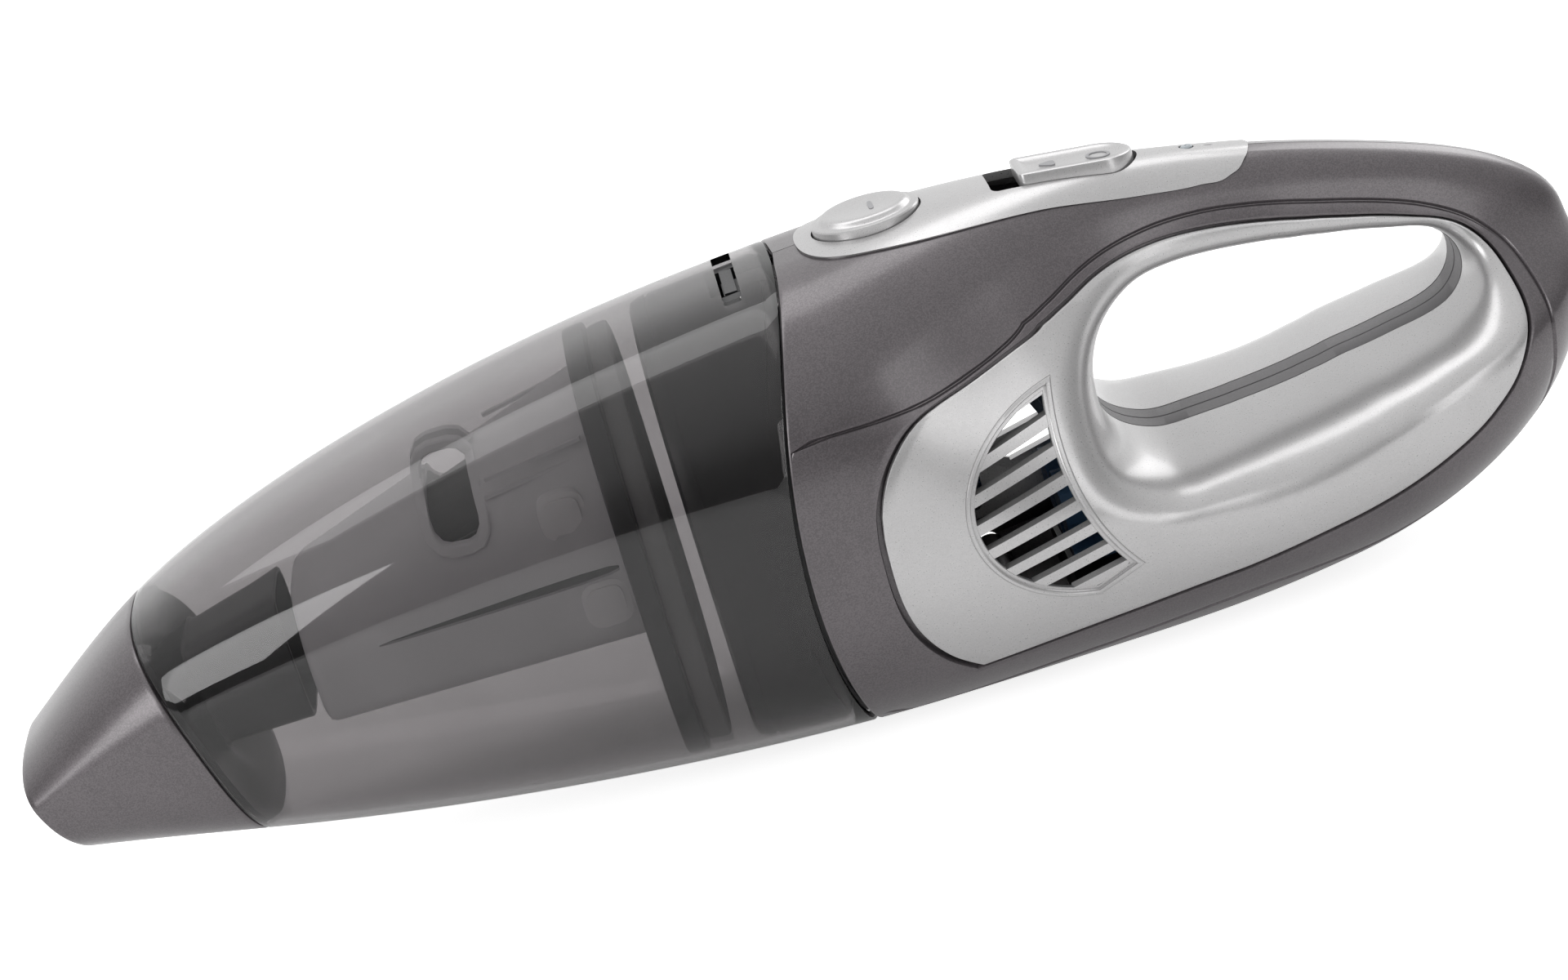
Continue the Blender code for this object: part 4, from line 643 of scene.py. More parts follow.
def looks():
    """Every finish of the object, by name."""
    c = bpy.context.scene.vacuum_colours
    return {
        "taupe": finish_look(
            "taupe_paint", c.taupe, 0.34, 0.55, spread=0.16, bump=0.03, flakes=0.7, Coat_Weight=0.55,
            Coat_Roughness=0.16,
        ),
        "silver": finish_look(
            "silver_paint", c.silver, 0.30, 0.62, spread=0.05, bump=0.02, flakes=0.6, Coat_Weight=0.4,
            Coat_Roughness=0.12,
        ),
        "smoke": finish_look(
            "smoked_plastic", c.smoke, 0.025, spread=0.03, bump=0.0, Transmission_Weight=1.0, IOR=1.46,
        ),
        "black": finish_look("black_plastic", c.black, 0.38, spread=0.15, grain=1800.0, bump=0.03),
        "cage": finish_look("grey_plastic", c.cage, 0.45, spread=0.05, grain=1500.0, bump=0.08),
        "pale": finish_look("pale_foam", (0.22, 0.22, 0.22), 0.85, spread=0.14, grain=1200.0, bump=0.45),
        "rubber": finish_look(
            "soft_rubber", (0.035, 0.034, 0.035), 0.62, spread=0.25, grain=1600.0, bump=0.20,
        ),
        "strip": finish_look(
            "grip_band_plastic", (0.13, 0.125, 0.13), 0.45, spread=0.12, grain=1600.0, bump=0.08,
        ),
        "cloth": finish_look("filter_fleece", c.cloth, 0.92, spread=0.16, grain=3200.0, bump=0.6),
        "steel": finish_look("brushed_steel", c.steel, 0.28, 1.0, spread=0.10, grain=1400.0, bump=0.06),
        "board": finish_look(
            "circuit_lacquer", (0.010, 0.022, 0.016), 0.40, spread=0.35, grain=900.0, bump=0.15,
        ),
        "cell": finish_look("cell_wrap", (0.10, 0.22, 0.42), 0.35, spread=0.15, grain=900.0, bump=0.04),
        "lamp": finish_look(
            "lamp_lens", (0.35, 0.38, 0.40), 0.12, spread=0.04, bump=0.0, Emission_Strength=0.02,
            Emission_Color=(0.7, 0.85, 1.0, 1.0),
        ),
        "tab": finish_look("snap_tab_plastic", (0.95, 0.95, 0.95), 0.5, spread=0.03, grain=1500.0, bump=0.05),
        "mark": finish_look("printed_mark", (0.30, 0.30, 0.31), 0.5, spread=0.1, bump=0.03),
    }


# --- Repeats made by geometry nodes ---------------------------------------------------------------


def repeat_tree(name, sockets):
    """A geometry tree with named inputs and one geometry output."""
    tree = bpy.data.node_groups.new(name, "GeometryNodeTree")
    for label, kind, value in sockets:
        socket = tree.interface.new_socket(name=label, in_out="INPUT", socket_type=f"NodeSocket{kind}")
        if value is not None:
            socket.default_value = value
    tree.interface.new_socket(name="Geometry", in_out="OUTPUT", socket_type="NodeSocketGeometry")
    return tree, tree.nodes.new("NodeGroupInput"), tree.nodes.new("NodeGroupOutput")


def repeated(name, tree, values):
    """The tree's result as one mesh, its modifier gone."""
    item = bpy.data.objects.new(name, bpy.data.meshes.new(name))
    bpy.context.scene.collection.objects.link(item)
    step = item.modifiers.new("repeat", "NODES")
    step.node_group = tree
    for socket in tree.interface.items_tree:
        if socket.in_out == "INPUT" and socket.name in values:
            step[socket.identifier] = values[socket.name]
    baked(item)
    mesh = bmesh.new()
    mesh.from_mesh(item.data)
    bmesh.ops.remove_doubles(mesh, verts=mesh.verts, dist=0.0000005)
    bmesh.ops.recalc_face_normals(mesh, faces=mesh.faces)
    mesh.to_mesh(item.data)
    mesh.free()
    return item


def end_of_tree(tree, geometry, start, end):
    real = node(tree, "GeometryNodeRealizeInstances")
    paint = node(tree, "GeometryNodeSetMaterial")
    tree.links.new(geometry, real.inputs["Geometry"])
    tree.links.new(real.outputs["Geometry"], paint.inputs["Geometry"])
    tree.links.new(start.outputs["Material"], paint.inputs["Material"])
    tree.links.new(paint.outputs["Geometry"], end.inputs["Geometry"])


def bar_row(name, count, first, step, size, turn, material):
    """A row of equal bars from a first centre, a step apart."""
    tree, start, end = repeat_tree(
        "bar_row",
        (
            ("Count", "Int", 5), ("First", "Vector", (0, 0, 0)), ("Step", "Vector", (0, 0, 0.01)),
            ("Size", "Vector", (0.01, 0.01, 0.01)), ("Turn", "Vector", (0, 0, 0)),
            ("Material", "Material", None),
        ),
    )
    line = node(tree, "GeometryNodeMeshLine")
    bar = node(tree, "GeometryNodeMeshCube")
    place = node(tree, "GeometryNodeInstanceOnPoints")
    spin = node(tree, "FunctionNodeEulerToRotation")
    for source, target in (
        (start.outputs["Count"], line.inputs["Count"]),
        (start.outputs["First"], line.inputs["Start Location"]),
        (start.outputs["Step"], line.inputs["Offset"]), (start.outputs["Size"], bar.inputs["Size"]),
        (line.outputs["Mesh"], place.inputs["Points"]), (bar.outputs["Mesh"], place.inputs["Instance"]),
        (start.outputs["Turn"], spin.inputs["Euler"]), (spin.outputs["Rotation"], place.inputs["Rotation"]),
    ):
        tree.links.new(source, target)
    end_of_tree(tree, place.outputs["Instances"], start, end)
    values = {"Count": count, "First": first, "Step": step, "Size": size, "Turn": turn, "Material": material}
    return repeated(name, tree, values)


def peg_ring(name, count, radius, centre, peg, depth, material):
    """Round pegs on a circle about the X axis."""
    tree, start, end = repeat_tree(
        "peg_ring",
        (
            ("Count", "Int", 6), ("Radius", "Float", 0.01), ("Centre", "Vector", (0, 0, 0)),
            ("Peg Radius", "Float", 0.003), ("Depth", "Float", 0.02), ("Material", "Material", None),
        ),
    )
    circle = node(tree, "GeometryNodeMeshCircle")
    pin = node(tree, "GeometryNodeMeshCylinder")
    pin.inputs["Vertices"].default_value = 32
    place = node(tree, "GeometryNodeInstanceOnPoints")
    stand = node(tree, "GeometryNodeTransform")
    stand.inputs["Rotation"].default_value = (0, math.pi / 2, 0)
    for source, target in (
        (start.outputs["Count"], circle.inputs["Vertices"]),
        (start.outputs["Radius"], circle.inputs["Radius"]),
        (start.outputs["Peg Radius"], pin.inputs["Radius"]), (start.outputs["Depth"], pin.inputs["Depth"]),
        (circle.outputs["Mesh"], place.inputs["Points"]), (pin.outputs["Mesh"], place.inputs["Instance"]),
        (place.outputs["Instances"], stand.inputs["Geometry"]),
        (start.outputs["Centre"], stand.inputs["Translation"]),
    ):
        tree.links.new(source, target)
    end_of_tree(tree, stand.outputs["Geometry"], start, end)
    values = {
        "Count": count, "Radius": radius, "Centre": centre, "Peg Radius": peg, "Depth": depth,
        "Material": material,
    }
    return repeated(name, tree, values)


def copies_at(name, item, points, material):
    """Copies of an item at each point of a list; the item is used up."""
    tree, start, end = repeat_tree(
        "copies_at", (("Item", "Object", None), ("Places", "Object", None), ("Material", "Material", None)),
    )
    spots = bpy.data.meshes.new(f"{name}_places")
    spots.from_pydata([tuple(p) for p in points], [], [])
    marks = bpy.data.objects.new(f"{name}_places", spots)
    bpy.context.scene.collection.objects.link(marks)
    shape = node(tree, "GeometryNodeObjectInfo")
    where = node(tree, "GeometryNodeObjectInfo")
    place = node(tree, "GeometryNodeInstanceOnPoints")
    for source, target in (
        (start.outputs["Item"], shape.inputs["Object"]), (start.outputs["Places"], where.inputs["Object"]),
        (where.outputs["Geometry"], place.inputs["Points"]),
        (shape.outputs["Geometry"], place.inputs["Instance"]),
    ):
        tree.links.new(source, target)
    end_of_tree(tree, place.outputs["Instances"], start, end)
    found = repeated(name, tree, {"Item": item, "Places": marks, "Material": material})
    bpy.data.objects.remove(item, do_unlink=True)
    bpy.data.objects.remove(marks, do_unlink=True)
    return found


# --- Body shells, panels and vents ----------------------------------------------------------------


def groove_line(skin, rays, edge):
    """Radius, width and strength of the styling groove along each ray."""
    radius = rays.hole + skin.groove_curve(rays.degrees) * (rays.outline - rays.hole)
    turn = np.unwrap(np.radians(rays.degrees))
    slant = np.gradient(radius, turn) / radius
    spread = skin.s.groove_width / 2 * np.minimum(np.sqrt(1 + slant**2), 5)
    first, last = GROOVE_ENDS
    strength = np.clip(2 * np.maximum(first - rays.degrees, rays.degrees - last), 0, 1)
    return np.maximum(radius, edge + spread + 1.2 * MM), spread, strength


def shell(skin, rays, side, name):
    """One housing: its rolled skin with the groove, the ledge under the panel and its inside."""
    s = skin.s
    e = s.round_edge
    edge = rays.panel + 0.012 * (rays.outline - rays.hole) + s.shadow_gap - 0.4 * MM
    groove, spread, strength = groove_line(skin, rays, edge)
    seam = rays.on_seam
    zero = np.zeros_like(edge)
    columns = [
        (rays.outline, np.where(seam, e, 0)),
        (rays.outline - np.where(seam, 0.29 * e, 0), np.where(seam, 0.29 * e, 0)),
        (rays.outline - e, zero),
    ]
    start = rays.outline - e
    ends = rays.outline - 1.02 * e
    rim = np.minimum(groove + spread, ends)
    for i in range(1, 17):
        columns.append((start - (start - rim) * (i / 17) ** 1.7, zero))
    depth = 0.9 * MM * strength
    for across, deep in (
        (1, 0), (0.7, 0.25), (0.4, 0.75), (0.1, 1), (-0.2, 1), (-0.45, 0.7), (-0.7, 0.2), (-1, 0),
    ):
        columns.append((np.minimum(groove + across * spread, ends), deep * depth))
    start = np.minimum(groove - spread, ends)
    for i in range(1, 12):
        columns.append((start - (start - edge - e) * i / 11, zero))
    columns.append((edge + 0.29 * e, zero + 0.29 * e))
    columns.append((edge, zero + e))
    columns.append((edge, zero + 3.0 * MM))
    tip = np.maximum(edge - 3 * MM, rays.hole + 0.6 * (rays.panel - rays.hole))
    columns.append((tip, zero + 3.0 * MM))
    columns.append((tip, zero + 4.6 * MM))
    columns.append((edge, zero + 4.6 * MM))
    for i in (8, 5, 2):
        columns.append((start - (start - edge - e) * i / 11, zero + s.wall))
    start = rays.outline - e
    for i in (16, 12, 9, 6, 4, 2, 1):
        columns.append((start - (start - rim) * (i / 17) ** 1.7, zero + s.wall))
    columns.append((rays.outline - 0.02 * MM, zero + s.wall))
    sections = []
    for i, (radius, drop) in enumerate(columns):
        point = rays.point(radius, side)
        normal = rays.normal(radius, side)
        if i in (0, len(columns) - 1):
            flat = ~seam
            point[flat, 1] = 0
            normal[flat, 1] = 0
            normal = unit(normal)
        sections.append(point - normal * np.asarray(drop)[:, None])
    sections = np.stack(sections, axis=1)
    sections[..., 1] = side * np.maximum(sections[..., 1] * side, s.split / 2)
    return swept(name, sections)


def panel(skin, rays, side, name):
    """The silver panel: from the grip strip over the rolled edge to a rounded rim, and back inside."""
    s = skin.s
    e = 0.7 * MM
    power = 2 / 3.4
    x, z = rays.place(rays.hole + 0.002 * s.length)
    begin = np.minimum((s.strip_half + 0.3 * MM) / skin.width(x, z), 0.8)
    turn = np.arcsin(begin ** (1 / power))
    rim = rays.panel - e
    full = np.minimum(rays.roll, rim - rays.hole)
    last = np.arccos(np.minimum((1 - full / rays.roll) ** (1 / power), 1))
    columns = []
    for i in range(26):
        angle = turn + (last - turn) * (i / 25) ** 1.25
        columns.append((rays.hole + rays.roll * (1 - np.cos(angle) ** power), 0))
    edge = columns[-1][0]
    for i in range(1, 13):
        columns.append((edge + (rim - edge) * i / 12, 0))
    columns += [(rim + 0.71 * e, 0.29 * e), (rays.panel, e), (rays.panel - 0.1 * MM, 2 * MM)]
    for i in (36, 32, 28, 24, 19, 14, 9, 5, 2, 0):
        columns.append((columns[i][0], 2 * MM))
    sections = []
    for i, (radius, drop) in enumerate(columns):
        point = rays.point(radius, side)
        normal = rays.normal(radius, side)
        if i in (0, len(columns) - 1):
            point[:, 1] = side * (s.strip_half + 0.3 * MM)
            normal = np.stack([-rays.cos, np.zeros_like(rays.cos), -rays.sin], axis=-1)
        sections.append(point - normal * drop)
    return swept(name, np.stack(sections, axis=1))


def inwards(outline, depth):
    """A closed outline of (x, z) points moved inwards, corners along their bisectors."""
    before = unit(outline - np.roll(outline, 1, axis=0))
    after = unit(np.roll(outline, -1, axis=0) - outline)
    bisector = unit(np.stack([-before[:, 1] - after[:, 1], before[:, 0] + after[:, 0]], axis=-1))
    slant = np.sum(bisector * np.stack([-before[:, 1], before[:, 0]], axis=-1), axis=-1)
    return outline + bisector * (depth / np.maximum(slant, 0.45))[:, None]


def trimmed(outline, depth):
    """The outline moved inwards, without the points that end up nearer to it than the depth."""
    place = inwards(outline, depth)
    start = outline[None]
    along = np.roll(outline, -1, axis=0)[None] - start
    reach = np.sum((place[:, None] - start) * along, axis=-1) / np.maximum(np.sum(along**2, axis=-1), 1e-18)
    nearest = start + along * np.clip(reach, 0, 1)[..., None]
    gap = np.linalg.norm(place[:, None] - nearest, axis=-1).min(axis=1)
    return place[gap > 0.97 * depth]


def vent_outline(skin):
    """A crescent with a round front and a hollow rear, anticlockwise in side view."""
    s = skin.s
    front = skin.centre - skin.hole_radius(180.0) - 42.5 * MM
    low = 27.5 * MM
    middle = low + s.vent_height / 2
    across = 0.87 * s.vent_length
    turn = np.radians(np.linspace(97, 258, 56))
    round_side = np.stack(
        [front + across + across * np.cos(turn), middle + s.vent_height / 2 * np.sin(turn)], axis=-1
    )
    tip = np.array((front + s.vent_length, low + 0.10 * s.vent_height))
    bend = np.array((front + 0.58 * s.vent_length, middle + 0.02 * s.vent_height))
    t = np.linspace(0, 1, 34, endpoint=False)[:, None]
    hollow = (1 - t) ** 2 * tip + 2 * t * (1 - t) * bend + t * t * round_side[0]
    return np.concatenate([round_side, hollow])


def prism_y(name, outline, low, high):
    """A closed (x, z) outline drawn out along Y."""
    rows = [np.stack([outline[:, 0], np.full(len(outline), y), outline[:, 1]], axis=-1) for y in (low, high)]
    return swept(name, np.stack(rows), closed=False)


def prism_z(name, outline, low, high):
    """A closed (x, y) outline drawn out along Z."""
    outline = np.asarray(outline)
    rows = [np.stack([outline[:, 0], outline[:, 1], np.full(len(outline), z)], axis=-1) for z in (low, high)]
    return swept(name, np.stack(rows), closed=False)


def oval(x, across, wide, count=72):
    turn = np.linspace(0, 2 * np.pi, count, endpoint=False)
    return np.stack([x + across * np.cos(turn), wide * np.sin(turn)], axis=-1)


def spans(outline, heights):
    """Least and most x of the outline at each height."""
    after = np.roll(outline, -1, axis=0)
    found = []
    for z in heights:
        crosses = (outline[:, 1] - z) * (after[:, 1] - z) <= 0
        low = outline[crosses]
        high = after[crosses]
        share = (z - low[:, 1]) / np.where(high[:, 1] == low[:, 1], 1, high[:, 1] - low[:, 1])
        x = low[:, 0] + (high[:, 0] - low[:, 0]) * share
        found.append((x.min(), x.max()))
    return np.array(found)


def vent_slab(skin, outline, side):
    """A slab of the side's skin, set back from it, that fills the crescent."""
    heights = np.linspace(outline[:, 1].min() + 0.05 * MM, outline[:, 1].max() - 0.05 * MM, 64)
    rows = []
    for z, (low, high) in zip(heights, spans(outline, heights)):
        x = np.linspace(low, high, 22)
        wide = skin.rolled(x, np.full_like(x, z))
        outer = np.stack([x, side * (wide - 0.75 * MM), np.full_like(x, z)], axis=-1)
        inner = outer[::-1] - (0, side * 3.4 * MM, 0)
        rows.append(np.concatenate([outer, inner]))
    return swept("slab", np.stack(rows), closed=False)


def vent(skin, side, look):
    """A raised double rim on the skin and slanted slats inside it."""
    s = skin.s
    outline = vent_outline(skin)
    profile = (
        (0.05, -2.3), (0.05, 0.15), (0.35, 0.45), (1.0, 0.45), (1.3, 0.15), (1.35, -0.45), (1.55, -0.6),
        (2.2, -0.6), (2.4, -0.85), (2.45, -2.3),
    )
    rim = []
    for across, up in profile:
        place = inwards(outline, across * MM)
        wide = skin.rolled(place[:, 0], place[:, 1]) + up * MM
        rim.append(np.stack([place[:, 0], side * wide, place[:, 1]], axis=-1))
    rim = swept("rim", np.stack(rim, axis=1))
    slab = vent_slab(skin, trimmed(outline, 2.3 * MM), side)
    middle = outline[:, 0].mean()
    step = s.vent_height / (s.slats - 1)
    bars = bar_row(
        "bars", s.slats + 2, (middle, 0, 27.5 * MM - step * 1.1), (0, 0, step),
        (2.5 * s.vent_length, 2 * s.width, step - s.slat), (0, math.radians(-12), 0), look,
    )
    cut(slab, bars)
    if not slab.data.polygons:
        raise RuntimeError("the vent's slats came out empty")
    return joined(f"{'left' if side < 0 else 'right'}_vent", [rim, slab])


def boss_tools(skin, side):
    """Screw bosses to add to a housing, and the bores and wells to cut from it."""
    bosses = []
    cuts = []
    for x, z in SCREW_PLACES:
        x *= MM
        z *= MM
        around = ((4.6 * MM, 0), (-4.6 * MM, 0), (0, 4.6 * MM), (0, -4.6 * MM))
        sides = [float(skin.rolled(np.array(x + dx), np.array(z + dz))) for dx, dz in around]
        reach = min(sides) - skin.s.wall / 2
        low = skin.s.split / 2
        ring = ((low, 4.6 * MM), (reach, 4.6 * MM), (reach, 0.5 * MM), (low, 0.5 * MM))
        bosses.append(turned("boss", [(side * y, r) for y, r in ring], (x, 0, z), 40, "Y"))
        cuts.append(prism_y("bore", oval_xz(x, z, 1.7 * MM), side * -1 * MM, side * 8.7 * MM))
        if side > 0:
            cuts.append(prism_y("well", oval_xz(x, z, 3.3 * MM), 6.5 * MM, skin.s.width))
    return bosses, cuts


def oval_xz(x, z, radius, count=40):
    turn = np.linspace(0, 2 * np.pi, count, endpoint=False)
    return np.stack([x + radius * np.cos(turn), z + radius * np.sin(turn)], axis=-1)


# --- Controls on top ------------------------------------------------------------------------------


def control_outline(skin, grow, count=90):
    """The inlay's outline seen from above: blunt in front, drawn out to the rear."""
    share = (1 - np.cos(np.linspace(0, np.pi, count))) / 2
    x = skin.top_seam + 6.5 * MM + 116 * MM * share
    half = 21 * MM * np.maximum(skin.control_curve(np.sqrt(share)), 0)
    side = np.stack([x, half], axis=-1)
    closed = np.concatenate([side, side[-2:0:-1] * (1, -1)])
    return inwards(closed, grow) if grow else closed


def skin_plate(skin, name, outline, columns, rings=14):
    """A plate on the skin: outline rings from (inset, height) columns, closed over to a spine."""
    sections = []
    for inset, height in columns:
        place = inwards(outline, -inset) if inset else outline
        z = skin.height_at(place[:, 0], place[:, 1]) + height
        sections.append(np.concatenate([place, z[:, None]], axis=1))
    rim = inwards(outline, -columns[-1][0])
    spine_x = np.clip(rim[:, 0], rim[:, 0].min() + 8 * MM, rim[:, 0].max() - 8 * MM)
    spine = np.stack([spine_x, np.zeros(len(rim))], axis=-1)
    for i in range(1, rings + 1):
        place = rim + (spine - rim) * i / rings
        z = skin.height_at(place[:, 0], place[:, 1]) + columns[-1][1]
        sections.append(np.concatenate([place, z[:, None]], axis=1))
    below = []
    for i in range(rings, -1, -2):
        place = rim + (spine - rim) * i / rings
        z = skin.height_at(place[:, 0], place[:, 1]) + columns[0][1]
        below.append(np.concatenate([place, z[:, None]], axis=1))
    return swept(name, np.stack(below + sections, axis=1))


def button_place(skin):
    x = skin.top_seam + 25 * MM
    return x, float(skin.top(x))


def switch_place(skin):
    """Middle, height of the face, slope and ends of the slide switch."""
    start = skin.top_seam + 64 * MM
    middle = start + 15 * MM
    slope = float((skin.top(start + 30 * MM) - skin.top(start)) / (30 * MM))
    return start, middle, float(skin.top(middle)) + 2.2 * MM, slope


def stadium(start, end, half, corner=2.0 * MM):
    """A plan with rounded front corners and a round rear, anticlockwise from above."""
    rear = np.radians(np.linspace(-90, 90, 40))
    left = np.radians(np.linspace(90, 180, 12))
    right = np.radians(np.linspace(180, 270, 12))
    parts = (
        (end - half, 0, half, rear), (start + corner, half - corner, corner, left),
        (start + corner, corner - half, corner, right),
    )
    return np.concatenate([np.stack([x + r * np.cos(t), y + r * np.sin(t)], axis=-1) for x, y, r, t in parts])


# --- Cup, nozzle and what they hold ---------------------------------------------------------------


def skin_inset(skin, x, angle, offset):
    """Points an offset inside the level cross-sections at x."""
    around = skin.ring(x, angle + 0.004) - skin.ring(x, angle - 0.004)
    normal = unit(np.stack([np.zeros_like(angle), around[:, 2], -around[:, 1]], axis=-1))
    return skin.ring(x, angle) - normal * np.asarray(offset).reshape(-1, 1)


def ring_angles(count):
    return 2 * np.pi * (np.arange(count) + 0.5) / count


def level(angle):
    """Height share of the section at an angle, -1 at the belly and 1 on top."""
    return np.sign(np.sin(angle)) * np.abs(np.sin(angle)) ** (2 / SECTION_POWER)


def loft(skin, name, front, back, wall, edge, count=180, columns=44):
    """A shell between two lines round the skin, both of its ends rounded."""
    angle = ring_angles(count)
    e = edge
    steps = [(0, wall - e), (0, e), (0.29 * e, 0.29 * e), (e, 0)]
    length = back - front
    rows = [(front + along, drop) for along, drop in steps]
    for i in range(1, columns):
        share = i / columns
        rows.append((front + e + (length - 2 * e) * share, 0))
    rows += [(back - e, 0), (back - 0.29 * e, 0.29 * e), (back, e), (back, wall - e)]
    rows.append((back - 0.29 * e, wall - 0.29 * e))
    for i in range(columns, -1, -2):
        rows.append((front + e + (length - 2 * e) * i / columns, wall))
    rows.append((front + 0.29 * e, wall - 0.29 * e))
    sections = []
    for x, drop in rows:
        x = np.maximum(x, skin.nose)
        normal = skin.ring_normal(x, angle)
        sections.append(skin.ring(x, angle) - normal * drop)
    return swept(name, np.stack(sections, axis=1))


def cross_ring(skin, name, start, thick, offset, band, edge=0.6 * MM):
    """A ring across the cup with rounded edges."""
    angle = ring_angles(160)
    e = edge
    profile = (
        (e, 0), (thick - e, 0), (thick - 0.29 * e, 0.29 * e), (thick, e), (thick, band - e),
        (thick - e, band), (e, band), (0, band - e), (0, e), (0.29 * e, 0.29 * e),
    )
    rows = []
    for along, deep in profile:
        x, inset = np.full_like(angle, start + along), np.full_like(angle, offset + deep)
        rows.append(skin_inset(skin, x, angle, inset))
    return swept(name, np.stack(rows, axis=1))


def duct_ring(x, low, high, half, angle):
    """A rounded duct section, one point for each angle."""
    middle = (low + high) / 2
    power = 2 / 5.0
    y = half * np.sign(np.cos(angle)) * np.abs(np.cos(angle)) ** power
    z = middle + (high - low) / 2 * np.sign(np.sin(angle)) * np.abs(np.sin(angle)) ** power
    return np.stack(np.broadcast_arrays(x, y, z), axis=-1)


def duct(skin):
    """The wall behind the nozzle with its flared duct, all one piece."""
    angle = ring_angles(180)
    seam = skin.nozzle_x(level(angle)) + 0.8 * MM
    start = skin.nose + skin.s.nozzle_seam + 2 * MM
    end = start + 26 * MM
    offset = 2.6 * MM
    low = DUCT_FLOOR * MM
    rows = []
    middle = np.full_like(angle, 0.0)
    for shift, deep in ((0.5, 0.2), (1.9, 0.2), (1.9, 6.0), (1.9, 12.0)):
        rows.append(skin_inset(skin, seam + shift * MM, angle, middle + offset + (deep - 0.2) * MM))
    front = duct_ring(skin.nozzle_x(0.2) + 3 * MM, low, low + 28 * MM, 17 * MM, angle)
    front[:, 0] = skin.nozzle_x(2 * front[:, 2] / skin.s.height - 1) + 2.7 * MM
    rows.append(rows[-1] * 0.5 + front * 0.5)
    for along, tall, grow in (
        (0, 28, 0.8), (0.03, 28, 0.2), (0.10, 28.4, 0), (0.4, 30.5, 0), (0.7, 32.5, 0), (0.985, 34.9, 0),
    ):
        x = front[:, 0] + (end - front[:, 0]) * along
        ring = duct_ring(x, low - grow * MM, low + (tall + grow) * MM, (17 + grow) * MM, angle)
        rows.append(ring)
    rows.append(duct_ring(end, low + 0.4 * MM, low + 34.6 * MM, 16.6 * MM, angle))
    rows.append(duct_ring(end, low + 1.3 * MM, low + 33.7 * MM, 15.7 * MM, angle))
    for along, tall in ((0.95, 33.2), (0.5, 29.4), (0.05, 26.6)):
        x = front[:, 0] + (end - front[:, 0]) * along
        rows.append(duct_ring(x, low + 1.6 * MM, low + tall * MM, 15.4 * MM, angle))
    inner = duct_ring(front[:, 0] - 1.4 * MM, low + 1.4 * MM, low + 26.6 * MM, 15.6 * MM, angle)
    rows.append(inner)
    rows.append(skin_inset(skin, seam + 0.5 * MM, angle, middle + offset + 11.8 * MM) * 0.5 + inner * 0.5)
    rows.append(skin_inset(skin, seam + 0.5 * MM, angle, middle + offset + 11.8 * MM))
    return swept("intake_duct", np.stack(rows, axis=1))


def rounded(outline, times=3):
    """A closed polygon with its corners cut again and again."""
    for _ in range(times):
        after = np.roll(outline, -1, axis=0)
        pairs = np.stack([0.8 * outline + 0.2 * after, 0.2 * outline + 0.8 * after], axis=1)
        outline = pairs.reshape(-1, outline.shape[1])
    return outline


def cage_section(x, half, low, high, top_half):
    cutoff = 0.16 * (high - low)
    y = [half - cutoff, half, half, top_half, -top_half, -half, -half, cutoff - half]
    z = [low, low + cutoff, high - 2.4 * cutoff, high, high, high - 2.4 * cutoff, low + cutoff, low]
    return rounded(np.stack([np.full(8, x), y, z], axis=-1))


def cage_sizes(skin):
    rear = skin.seam - 42.3 * MM
    half = float(skin.width(rear, skin.s.height / 2)) - 13 * MM
    return rear - CAGE_LENGTH * MM, rear, half, float(skin.top(rear)) - 10.8 * MM


def cage_row(skin, share, inset, shift=0.0):
    """The cage's section at a share of its length, a wall further in."""
    front, rear, half, high = cage_sizes(skin)
    low = DUCT_FLOOR * MM + 1 * MM * share
    wide = CAGE_FRONT_HALF * MM + (half - CAGE_FRONT_HALF * MM) * share
    top = CAGE_FRONT_TOP * MM + (high - CAGE_FRONT_TOP * MM) * share
    narrow_front = CAGE_TOP_FRONT * CAGE_FRONT_HALF * MM
    narrow = narrow_front + (CAGE_TOP_REAR * half - narrow_front) * share
    x = front + (rear - front) * share + shift
    return cage_section(x, wide - inset, low + inset, top - inset, narrow - inset)


def filter_cage(skin):
    """The cage: rounded nose, side windows and a long slit."""
    front, rear = cage_sizes(skin)[:2]
    wall = 1.8 * MM
    rows = []
    for inset, shift in ((3.2, 0), (1.6, 0.2), (0.6, 0.8), (0.1, 1.8)):
        rows.append(cage_row(skin, 0, inset * MM, shift * MM))
    rows += [cage_row(skin, share, 0) for share in np.linspace(0.04, 1, 24)]
    rows += [cage_row(skin, share, wall) for share in np.linspace(1, 0.045, 12)]
    rows += [cage_row(skin, 0, 2.4 * MM, 2.4 * MM), cage_row(skin, 0, 4.4 * MM, 1.9 * MM)]
    cage = swept("filter_cage", np.stack(rows), closed=False)
    cut(cage, prism_y("window", window_outline(skin), -skin.s.width, skin.s.width))
    ends = (
        (front + 19 * MM, 62.6), (rear - 1.5 * MM, 66.4), (rear - 1.5 * MM, 69.9), (front + 19 * MM, 63.6),
    )
    slit = rounded(np.array([(x, z * MM) for x, z in ends]), 2)
    cut(cage, prism_y("slit", slit, -skin.s.width, skin.s.width))
    return cage


def cage_side(skin, x, z):
    """Half width of the cage's flank at a place."""
    front, rear = cage_sizes(skin)[:2]
    share = (x - front) / (rear - front)
    ring = cage_row(skin, share, 0)
    near = ring[ring[:, 1] > 0]
    order = np.argsort(near[:, 2])
    return float(np.interp(z, near[order, 2], near[order, 1]))


def upright(x, z, long, tall, times=2):
    """A rounded rectangle in side view about a centre."""
    corners = ((-1, -1), (1, -1), (1, 1), (-1, 1))
    return rounded(np.array([(x + a * long / 2, z + b * tall / 2) for a, b in corners]), times)


